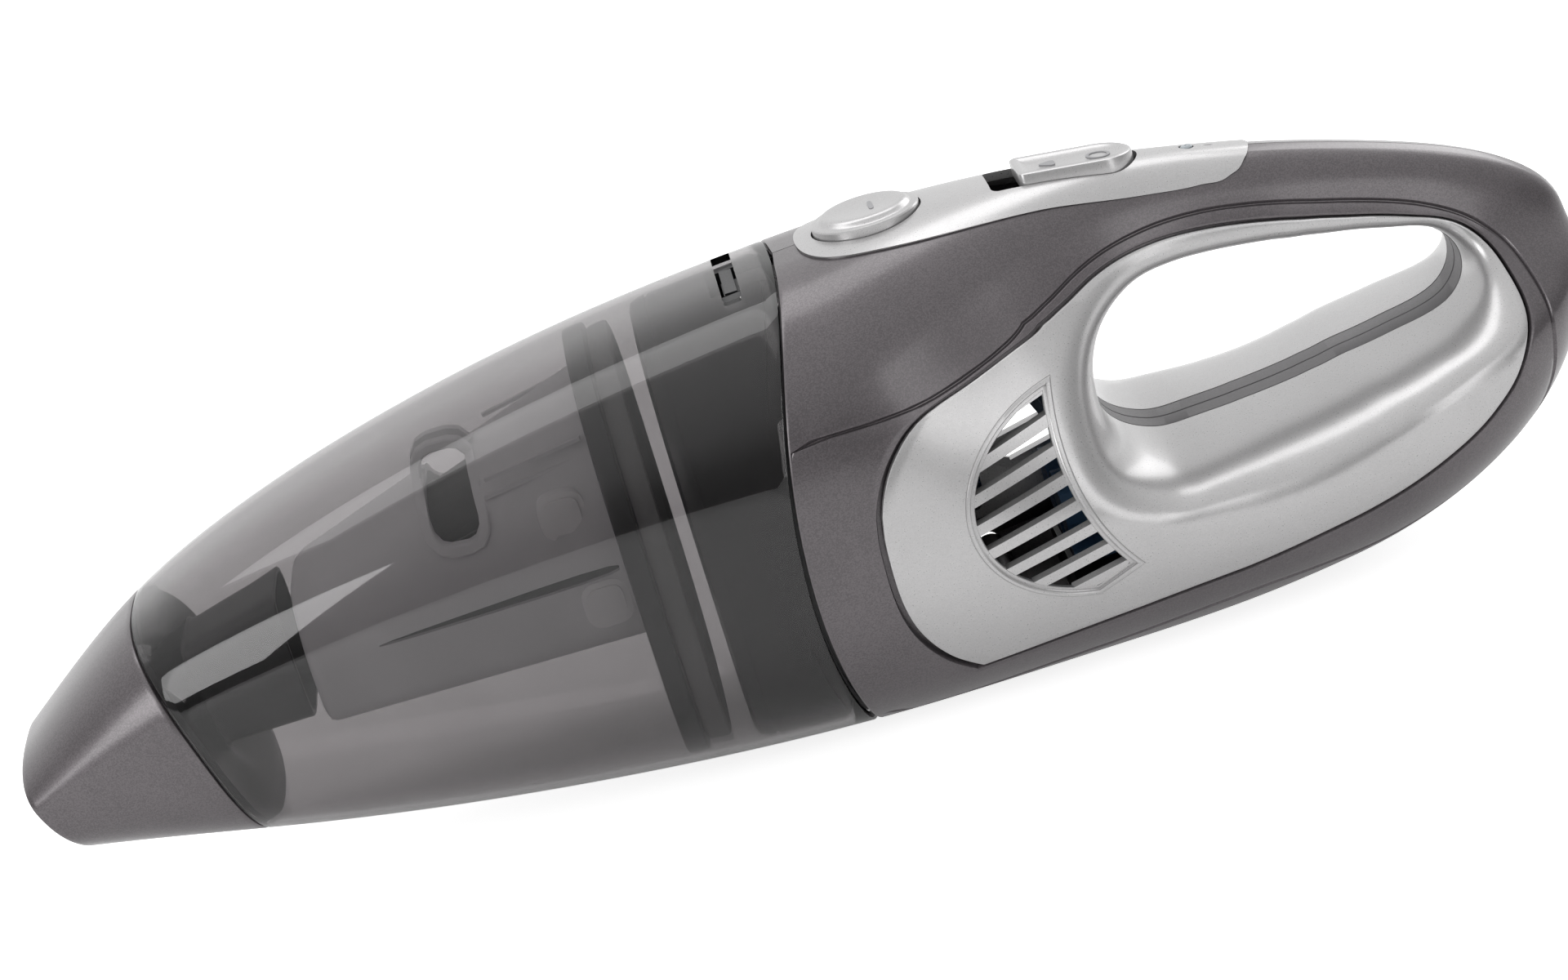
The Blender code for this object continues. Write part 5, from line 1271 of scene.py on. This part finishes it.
def window_outline(skin):
    front = cage_sizes(skin)[0]
    return upright(front + 46.5 * MM, 91.0 * MM, 12.5 * MM, 17 * MM)


def cage_tabs(skin):
    """Two stepped snap tabs on each flank of the cage."""
    rear = cage_sizes(skin)[1]
    found = []
    for side in (-1, 1):
        for x, z in ((rear - 11 * MM, 84 * MM), (rear - 7 * MM, 60 * MM)):
            wide = cage_side(skin, x, z)
            plan = upright(x, z, 12 * MM, 12 * MM, 3)
            found.append(prism_y("tab", plan, side * (wide - 2.6 * MM), side * (wide + 1.0 * MM)))
            step = inwards(plan, 1.5 * MM)
            found.append(prism_y("step", step, side * (wide + 0.2 * MM), side * (wide + 1.7 * MM)))
    return joined("snap_tabs", found)


def cage_details(skin, look):
    """A raised frame round the window and fine ribs on both flanks of the cage."""
    rear = cage_sizes(skin)[1]
    place = window_outline(skin)
    found = []
    for side in (-1, 1):
        rim = []
        for grow, up in ((-0.1, -2.4), (-2.6, -2.4), (-2.6, 0.9), (-2.2, 1.3), (-0.5, 1.3), (-0.1, 0.9)):
            ring = inwards(place, grow * MM)
            wide = np.array([cage_side(skin, x, z) for x, z in ring]) + up * MM
            rim.append(np.stack([ring[:, 0], side * wide, ring[:, 1]], axis=-1))
        found.append(swept("frame", np.stack(rim, axis=1)))
        wide = cage_side(skin, rear - 18 * MM, 92 * MM)
        found.append(
            bar_row(
                "ribs", 3, (rear - 17 * MM, side * (wide - 0.5 * MM), 89 * MM), (1.4 * MM, 0, 4.4 * MM),
                (26 * MM, 1.8 * MM, 0.9 * MM), (0, math.radians(-9), side * math.radians(6)), look,
            )
        )
    return found


def pleats(skin):
    """Pleated cloth inside the cage, its folds running back to the flange."""
    front, rear, half, high = cage_sizes(skin)
    count = 44
    turn = np.linspace(0, 2 * np.pi, 4 * count, endpoint=False)
    fold = 0.5 + 0.5 * np.sign(np.sin(count * turn)) * np.abs(np.sin(count * turn)) ** 0.6
    rows = []
    for share, close in ((0.16, 0.25), (0.165, 0.93), (0.18, 0.97), (0.4, 1), (0.6, 1), (0.8, 1), (0.99, 1)):
        x = front + (rear - front) * share
        low = 48 * MM
        top = 79 * MM + (high - 79 * MM) * share - 4.5 * MM
        wide = 27 * MM + (half - 27 * MM) * share - 4.5 * MM
        size = close * (1 - 0.14 * fold)
        power = 2 / 2.6
        y = size * wide * np.sign(np.cos(turn)) * np.abs(np.cos(turn)) ** power
        z = (low + top) / 2 + size * (top - low) / 2 * np.sign(np.sin(turn)) * np.abs(np.sin(turn)) ** power
        rows.append(np.stack([np.full_like(turn, x), y, z], axis=-1))
    return swept("pleated_filter", np.stack(rows), closed=False, smooth=50)


def bulkhead(skin, look):
    """The dished wall in front of the motor, with its skirt, stiffening rim, air holes and latch notch."""
    s = skin.s
    angle = ring_angles(180)
    front = skin.seam - 24 * MM
    wall = 2.4 * MM
    offset = 2.6 * MM
    neck = s.wall + 1.8 * MM
    seam = skin.seam_x((level(angle) + 1) / 2 * s.height)
    rows = []
    flat = np.zeros_like(angle)
    for x, inset in (
        (front + 3.2 * MM, offset), (front + 4.6 * MM, offset), (front + 4.6 * MM, offset + 0.7 * MM),
        (front + 5.6 * MM, offset + 0.7 * MM), (front + 5.6 * MM, offset), (seam - 5 * MM, offset),
        (seam - 5 * MM, offset + 0.5 * MM), (seam - 0.8 * MM, offset + 0.5 * MM), (seam - 0.8 * MM, neck),
        (seam + 7 * MM, neck), (seam + 7 * MM, neck + wall),
        (front + wall + 2 * MM, neck + wall), (front + wall, neck + 3 * wall),
    ):
        rows.append(skin_inset(skin, flat + x, angle, flat + inset))
    around = np.stack([flat, np.cos(angle), np.sin(angle)], axis=-1)
    hub = np.array([front, 0, 58 * MM])
    for share in (0.75, 0.5, 0.25):
        rows.append(rows[12] * share + (hub + (wall, 0, 0) + around * 3 * MM) * (1 - share))
    rows.append(hub + (wall, 0, 0) + around * 3 * MM)
    rows.append(hub + around * 3 * MM)
    rim = skin_inset(skin, flat + front, angle, flat + offset + 3 * MM)
    for share in (0.3, 0.6, 0.85):
        rows.append(rim * share + (hub + around * 3 * MM) * (1 - share))
    rows.append(rim)
    rows.append(skin_inset(skin, flat + front + 0.9 * MM, angle, flat + offset + 0.9 * MM))
    item = swept("motor_wall", np.stack(rows, axis=1))
    for radius, count in ((9 * MM, 6), (18 * MM, 10)):
        cut(item, peg_ring("holes", count, radius, (front, 0, 58 * MM), 3.4 * MM, 20 * MM, look))
    back = skin.top_seam - 18 * MM
    top = float(skin.top(back))
    cut(item, box_piece("notch", (back, -11 * MM, top - 14.2 * MM), (skin.top_seam + 12 * MM, 11 * MM, 0.13)))
    return item


# --- Operators ------------------------------------------------------------------------------------


class PartOperator:
    """What all the piece operators share."""

    bl_options = {"REGISTER"}

    def execute(self, context):
        self.make(Skin(context.scene.vacuum_sizes), looks())
        return {"FINISHED"}


class VACUUM_OT_housings(PartOperator, bpy.types.Operator):
    """Both taupe housings with the groove, the ledge, the inlay's opening and the screw bosses"""

    bl_idname = "vacuum.housings"
    bl_label = "Housings"

    def make(self, skin, look):
        rays = Rays(skin)
        for name, side in SIDES:
            item = shell(skin, rays, side, f"{name}_shell")
            bosses, cuts = boss_tools(skin, side)
            cut(item, joined("bosses", bosses), "UNION")
            opening = control_outline(skin, -0.5 * MM)
            cuts.append(prism_z("opening", opening, 0.100, 0.140))
            for tool in cuts:
                cut(item, tool)
            dress(item, look["taupe"], "body", f"{name}_housing", slot="taupe")


class VACUUM_OT_panels(PartOperator, bpy.types.Operator):
    """Silver side panels with the crescent opening, and the vents set into them"""

    bl_idname = "vacuum.panels"
    bl_label = "Side panels"

    def make(self, skin, look):
        rays = Rays(skin)
        for name, side in SIDES:
            item = panel(skin, rays, side, f"{name}_panel")
            cut(item, prism_y("crescent", vent_outline(skin), -skin.s.width, skin.s.width))
            dress(item, look["silver"], "body", f"{name}_side_panel", slot="silver")
            item = vent(skin, side, look["silver"])
            dress(item, look["silver"], "body", f"{name}_vent_grille", slot="silver")


class VACUUM_OT_grip_strip(PartOperator, bpy.types.Operator):
    """The dark band round the inside of the grip hole, with its fine middle line"""

    bl_idname = "vacuum.grip_strip"
    bl_label = "Grip strip"

    def make(self, skin, look):
        rays = Rays(skin)
        half = skin.s.strip_half
        rows = []
        for y, deep in (
            (-half, 1.8), (-half, 0.35), (-half + 0.35 * MM, 0), (-0.4 * MM, 0),
            (-0.25 * MM, 0.5), (0.25 * MM, 0.5), (0.4 * MM, 0), (half - 0.35 * MM, 0),
            (half, 0.35), (half, 1.8),
        ):
            x, z = rays.place(rays.hole + deep * MM)
            rows.append(np.stack([x, np.full_like(x, y), z], axis=-1))
        dress(swept("grip_band", np.stack(rows, axis=1)), look["strip"], "body", "grip_strip", slot="black")


class VACUUM_OT_front(PartOperator, bpy.types.Operator):
    """The nozzle, the smoked cup and the intake duct"""

    bl_idname = "vacuum.front"
    bl_label = "Nozzle and cup"

    def make(self, skin, look):
        s = skin.s
        ratio = level(ring_angles(180))
        item = loft(skin, "nozzle_shell", skin.mouth_x(ratio), skin.nozzle_x(ratio), s.wall, 0.7 * MM)
        dress(item, look["taupe"], "cup", "nozzle", slot="taupe")
        back = skin.seam_x((ratio + 1) / 2 * s.height) - 1.0 * MM
        front = skin.nozzle_x(ratio) + 0.4 * MM
        item = loft(skin, "smoked_cup", front, back, s.cup_wall, 0.4 * MM, columns=64)
        x = skin.top_seam - 13 * MM
        top = float(skin.top(x))
        low = (x - 2.5 * MM, -20 * MM, top - 12 * MM)
        cut(item, bevelled_box("catch", low, (x + 2.5 * MM, 20 * MM, top + 2 * MM), 1.0 * MM))
        dress(item, look["smoke"], "cup", "dust_cup", slot="smoke")
        dress(duct(skin), look["black"], "cup", "inlet_duct", slot="black")


def bevelled_box(name, low, high, width):
    item = box_piece(name, low, high)
    bevelled(item, width, 3)
    return baked(item)


class VACUUM_OT_filter(PartOperator, bpy.types.Operator):
    """The filter cage with its windows and tabs, the pleated cloth, the flange and the gasket"""

    bl_idname = "vacuum.filter"
    bl_label = "Filter"

    def make(self, skin, look):
        cage = filter_cage(skin)
        cage = joined("filter_cage", [cage] + cage_details(skin, look["cage"]))
        dress(cage, look["cage"], "filter", "filter_frame", slot="cage")
        dress(cage_tabs(skin), look["tab"], "filter", slot="cage")
        dress(pleats(skin), look["cloth"], "filter", "filter_cloth", slot="cloth")
        start = skin.seam - 42 * MM
        flange = cross_ring(skin, "filter_collar", start, 5.5 * MM, 2.6 * MM, 11 * MM)
        dress(flange, look["black"], "filter", "filter_flange", slot="black")
        gasket = cross_ring(skin, "filter_seal", start + 5.8 * MM, 6 * MM, 5 * MM, 4 * MM, 1.2 * MM)
        dress(gasket, look["pale"], "filter", "filter_gasket", slot="pale")


class VACUUM_OT_bulkhead(PartOperator, bpy.types.Operator):
    """The dished wall in front of the motor"""

    bl_idname = "vacuum.bulkhead"
    bl_label = "Bulkhead"

    def make(self, skin, look):
        dress(bulkhead(skin, look["black"]), look["black"], "body", "motor_bulkhead", slot="black")


class VACUUM_OT_controls(PartOperator, bpy.types.Operator):
    """The silver inlay with its openings, marks, release button, slide switch and lamp"""

    bl_idname = "vacuum.controls"
    bl_label = "Controls"

    def make(self, skin, look):
        outline = control_outline(skin, 0)
        inlay = skin_plate(
            skin, "control_inlay", outline,
            ((0.1 * -MM, -1.6 * MM), (0, 0.1 * MM), (-0.15 * MM, 0.42 * MM), (-0.5 * MM, 0.6 * MM)),
        )
        x, top = button_place(skin)
        cut(inlay, prism_z("button_hole", oval(x, 14.5 * MM, 14.0 * MM), 0.10, 0.14))
        start, middle, face, slope = switch_place(skin)
        cut(inlay, prism_z("switch_hole", stadium(start - 7.4 * MM, start + 31 * MM, 9.0 * MM), 0.095, 0.14))
        lamp_x = skin.top_seam + LAMP_BACK * MM
        cut(inlay, prism_z("lamp_hole", oval(lamp_x, 1.9 * MM, 1.9 * MM, 40), 0.09, 0.14))
        dress(inlay, look["silver"], "body", "control_panel", slot="silver")
        self.button(look, x, top)
        self.slider(look, start, middle, face, slope)
        self.marks(look, middle, face, slope)
        lamp_top = float(skin.top(lamp_x)) + 1.1 * MM
        profile = [(-5.8, 0.3), (-5.8, 1.6), (-0.5, 1.6), (-0.15, 1.25), (0, 0.3)]
        profile = [(along * MM, radius * MM) for along, radius in profile]
        lamp = turned("lamp", profile, (lamp_x, 0, lamp_top), 40, "Z")
        cap = bmesh.new()
        cap.from_mesh(lamp.data)
        bmesh.ops.holes_fill(cap, edges=cap.edges, sides=60)
        cap.to_mesh(lamp.data)
        cap.free()
        dress(lamp, look["lamp"], "body", "indicator_led", slot="lamp")

    def button(self, look, x, top):
        """An oval button: stepped rim, dished face and stem."""
        rise = 0.6 * MM
        rows = []
        for grow, up in (
            (-13.0, -1.3), (0, -1.3), (0, 1.0), (-0.25, 1.35), (-0.7, 1.5), (-1.5, 1.55), (-2.0, 1.75),
            (-2.5, 2.35), (-3.0, 2.75), (-3.6, 2.95), (-4.6, 3.0), (-7.0, 2.75), (-10.0, 2.6), (-13.0, 2.55),
        ):
            place = oval(x, 14 * MM + grow * MM, 13.5 * MM + grow * MM)
            rows.append(np.concatenate([place, np.full((len(place), 1), top + rise + up * MM)], axis=1))
        cap = swept("release_cap", np.stack(rows), closed=False)
        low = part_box("release_button")[0]
        tall = top - 0.2 * MM - low[2]
        profile = [(0, 0.4 * MM), (0, 2.7 * MM), (0.3 * MM, 3.0 * MM), (tall, 3.0 * MM), (tall, 0.4 * MM)]
        stem = turned("stem", profile, (x - 6.5 * MM, 0, low[2]), 40, "Z")
        dress(joined("release_cap", [cap, stem]), look["silver"], "button", "release_button", slot="silver")
        tick = np.array([(-2.2, 3.4), (-0.9, 3.4), (-0.9, -3.4), (-2.2, -3.4)]) * MM + (x + 3.5 * MM, 0)
        face = top + rise + 2.5 * MM
        mark = prism_z("button_mark", inwards(rounded(tick, 2)[::-1], 0), face, face + 0.28 * MM)
        dress(mark, look["mark"], "button", slot="black")

    def slider(self, look, start, middle, face, slope):
        """A slide switch with a rounded rim and a finger dish."""
        outline = stadium(start, start + 30 * MM, 8.5 * MM)
        rows = []
        for inset, drop in (
            (4.0, 4.0), (0.0, 4.0), (0.0, 0.7), (0.2, 0.25), (0.7, 0.0), (1.6, 0.0), (2.1, 0.25),
            (3.2, 0.7), (5.5, 0.95),
        ):
            place = inwards(outline, inset * MM)
            z = face + slope * (place[:, 0] - middle) - drop * MM
            rows.append(np.concatenate([place, z[:, None]], axis=1))
        body = swept("slide_switch", np.stack(rows), closed=False)
        dress(body, look["silver"], "switch", "power_switch", slot="silver")

    def marks(self, look, middle, face, slope):
        """An arrow and a ring on the slide switch."""
        arrow = np.array([(-9.5, 0), (-4.5, 2.8), (-4.5, -2.8)]) * MM + (middle, 0)
        ring = [oval(middle + 6.5 * MM, r * MM, r * MM, 48) for r in (3.1, 2.3)]
        rows = []
        for place, up in ((ring[0], -0.98), (ring[0], -0.72), (ring[1], -0.72), (ring[1], -0.98)):
            rows.append(self.on_slope(place, middle, face, slope, up * MM))
        item = swept("switch_ring", np.stack(rows, axis=1))
        arrow = rounded(arrow[::-1], 2)
        rows = [self.on_slope(arrow, middle, face, slope, up * MM) for up in (-0.98, -0.72)]
        item = joined("switch_marks", [item, swept("switch_arrow", np.stack(rows), closed=False)])
        dress(item, look["mark"], "switch", slot="black")

    def on_slope(self, place, middle, face, slope, up):
        z = face + slope * (place[:, 0] - middle) + up
        return np.concatenate([place, z[:, None]], axis=1)


class VACUUM_OT_screws(PartOperator, bpy.types.Operator):
    """The four housing screws, each with a crossed recess"""

    bl_idname = "vacuum.screws"
    bl_label = "Screws"

    def make(self, skin, look):
        seat = 6.8 * MM
        rows = []
        for y, radius in (
            (seat - 13.0 * MM, 0.3), (seat - 12.4 * MM, 0.9), (seat - 11.6 * MM, 1.35), (seat, 1.35),
            (seat, 2.8), (seat + 0.2 * MM, 3.0), (seat + 1.2 * MM, 3.0), (seat + 1.8 * MM, 2.7),
            (seat + 2.25 * MM, 1.9), (seat + 2.4 * MM, 0.8),
        ):
            ring = oval_xz(0, 0, radius * MM, 48)
            rows.append(np.stack([ring[:, 0], np.full(48, y), ring[:, 1]], axis=-1))
        item = swept("screw", np.stack(rows), closed=False)
        for turn in (0, 1):
            size = (3.6 * MM, 0.75 * MM) if turn else (0.75 * MM, 3.6 * MM)
            low = (-size[0] / 2, seat + 1.1 * MM, -size[1] / 2)
            cut(item, box_piece("cross", low, (size[0] / 2, seat + 3 * MM, size[1] / 2)))
        places = [(x * MM, 0, z * MM) for x, z in SCREW_PLACES]
        item = copies_at("housing_screws", item, places, look["steel"])
        names = [f"housing_screw_{i}" for i in (1, 2, 3, 4)]
        dress(item, look["steel"], "body", *names, slot="steel")


CARRIED = {
    "motor": "steel", "motor_ring_front": "rubber", "motor_ring_rear": "rubber", "fan_cover": "black",
    "battery_cell_1": "cell", "battery_cell_2": "cell", "battery_cell_3": "cell", "battery_cell_4": "cell",
    "battery_tray": "black", "circuit_board": "board", "switch_block": "black", "latch_pin": "steel",
    "latch_spring": "steel", "charge_contact_left": "steel", "charge_contact_right": "steel",
    "inlet_flap": "rubber", "cup_latch": "black", "motor_shaft": "steel", "fan_impeller": "black",
}


class VACUUM_OT_inner_parts(PartOperator, bpy.types.Operator):
    """Finishes for the CAD nodes whose shape is kept"""

    bl_idname = "vacuum.inner_parts"
    bl_label = "Inner parts"

    def make(self, skin, look):
        for name, finish in CARRIED.items():
            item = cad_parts[name]
            for slot in item.material_slots:
                slot.material = look[finish]


def camera_axes(elevation, roll):
    """Right, up and back of the camera, rolled so the object's length rises to the right."""
    back = Vector((0, -math.cos(elevation), math.sin(elevation)))
    level_right = Vector((1, 0, 0))
    level_up = back.cross(level_right)
    right = level_right * math.cos(roll) - level_up * math.sin(roll)
    up = level_up * math.cos(roll) + level_right * math.sin(roll)
    return right, up, back


def soft_box(name, place, target, size, power, height=None):
    data = bpy.data.lights.new(name, "AREA")
    data.shape = "RECTANGLE"
    data.size = size
    data.size_y = height or size
    data.energy = power
    item = bpy.data.objects.new(name, data)
    bpy.context.scene.collection.objects.link(item)
    item.location = place
    aim = Vector(target) - Vector(place)
    item.rotation_euler = aim.to_track_quat("-Z", "Y").to_euler()
    return item


def studio_world():
    """A plain white backdrop that lights the object from above and leaves its flanks darker."""
    world = bpy.data.worlds.new("studio")
    world.use_nodes = True
    tree = world.node_tree
    place = tree.nodes.new("ShaderNodeTexCoord").outputs["Generated"]
    split = tree.nodes.new("ShaderNodeSeparateXYZ")
    tree.links.new(place, split.inputs[0])
    steps = tree.nodes.new("ShaderNodeValToRGB")
    ramp = steps.color_ramp
    for at, value in ((0.30, 0.10), (0.52, 0.20), (0.62, 0.30), (0.78, 0.70), (1.0, 0.95)):
        stop = ramp.elements.new(at)
        stop.color = (value, value, value, 1)
    for stop in (ramp.elements[0], ramp.elements[-1]):
        stop.color = (0.10, 0.10, 0.10, 1) if stop.position == 0 else (0.95, 0.95, 0.95, 1)
    height = tree.nodes.new("ShaderNodeMapRange")
    height.inputs["From Min"].default_value = -1.0
    tree.links.new(split.outputs["Z"], height.inputs["Value"])
    tree.links.new(height.outputs["Result"], steps.inputs["Fac"])
    behind = tree.nodes.new("ShaderNodeMapRange")
    behind.inputs["From Min"].default_value = -0.05
    behind.inputs["From Max"].default_value = 0.45
    tree.links.new(split.outputs["Y"], behind.inputs["Value"])
    seen = tree.nodes.new("ShaderNodeLightPath").outputs["Is Camera Ray"]
    white = maths(tree, "MAXIMUM", maths(tree, "MULTIPLY", behind.outputs["Result"], 0.9), seen)
    mix = tree.nodes.new("ShaderNodeMix")
    mix.data_type = "RGBA"
    mix.inputs["B"].default_value = (1, 1, 1, 1)
    tree.links.new(white, mix.inputs["Factor"])
    tree.links.new(steps.outputs["Color"], mix.inputs["A"])
    tree.links.new(mix.outputs["Result"], tree.nodes["Background"].inputs["Color"])
    return world


class VACUUM_OT_stage(bpy.types.Operator):
    """The plain pale floor, the soft lights and the camera"""

    bl_idname = "vacuum.stage"
    bl_label = "Stage"

    def execute(self, context):
        scene = context.scene
        tone = [0.8 * c for c in scene.vacuum_colours.floor]
        floor = finish_look("studio_floor", tone, 0.9, spread=0.01, bump=0.0)
        shader = floor.node_tree.nodes["Principled BSDF"]
        shader.inputs["Emission Color"].default_value = (1, 1, 1, 1)
        seen = floor.node_tree.nodes.new("ShaderNodeLightPath").outputs["Is Camera Ray"]
        glow = maths(floor.node_tree, "ADD", maths(floor.node_tree, "MULTIPLY", seen, 0.6), 0.20)
        floor.node_tree.links.new(glow, shader.inputs["Emission Strength"])
        count = 48
        ring = np.linspace(0, 2 * np.pi, count, endpoint=False)
        points = [(3.0 * math.cos(a), 3.0 * math.sin(a), -0.001) for a in ring]
        ground = mesh_piece("studio_ground", points, [tuple(range(count))])
        ground.data.materials.append(floor)
        scene.world = studio_world()
        soft_box("top_light", (-0.10, 0.35, 1.15), (0, 0, 0.06), 1.5, 4.5, 0.5)
        soft_box("front_light", (-0.95, -0.85, 0.50), (-0.10, 0, 0.06), 0.6, 5.0)
        soft_box("side_light", (0.75, -1.0, 0.35), (0.08, 0, 0.06), 0.35, 1.8, 0.9)
        soft_box("rear_light", (0.9, 0.9, 0.7), (0, 0, 0.08), 0.7, 3.0)
        right, up, back = camera_axes(math.radians(20), math.radians(17))
        data = bpy.data.cameras.new("studio_camera")
        data.lens = 84.8
        data.sensor_width = 36
        camera = bpy.data.objects.new("studio_camera", data)
        scene.collection.objects.link(camera)
        turn = Matrix((right, up, back)).transposed().to_4x4()
        camera.matrix_world = Matrix.Translation(Vector((-0.003, 0, 0.0604)) + back * 0.95) @ turn
        scene.camera = camera
        scene.view_settings.view_transform = "Standard"
        return {"FINISHED"}


class VACUUM_PT_sidebar(bpy.types.Panel):
    """Sizes, colours and the builders of the vacuum"""

    bl_label = "Handheld Vacuum"
    bl_idname = "VACUUM_PT_sidebar"
    bl_space_type = "VIEW_3D"
    bl_region_type = "UI"
    bl_category = "Vacuum"

    def draw(self, context):
        for group in (context.scene.vacuum_sizes, context.scene.vacuum_colours):
            column = self.layout.column(align=True)
            for name in group.__annotations__:
                column.prop(group, name)
        for builder in BUILDERS:
            self.layout.operator(builder.bl_idname)


BUILDERS = (
    VACUUM_OT_housings, VACUUM_OT_panels, VACUUM_OT_grip_strip, VACUUM_OT_front, VACUUM_OT_filter,
    VACUUM_OT_bulkhead, VACUUM_OT_controls, VACUUM_OT_screws, VACUUM_OT_inner_parts, VACUUM_OT_stage,
)
CLASSES = (VacuumSizes, VacuumColours, *BUILDERS, VACUUM_PT_sidebar)


def register():
    for item in CLASSES:
        bpy.utils.register_class(item)
    bpy.types.Scene.vacuum_sizes = PointerProperty(type=VacuumSizes)
    bpy.types.Scene.vacuum_colours = PointerProperty(type=VacuumColours)


def unregister():
    del bpy.types.Scene.vacuum_colours
    del bpy.types.Scene.vacuum_sizes
    for item in reversed(CLASSES):
        bpy.utils.unregister_class(item)


def main():
    register()
    for builder in BUILDERS:
        group, name = builder.bl_idname.split(".")
        getattr(getattr(bpy.ops, group), name)()


if __name__ == "__main__":
    main()
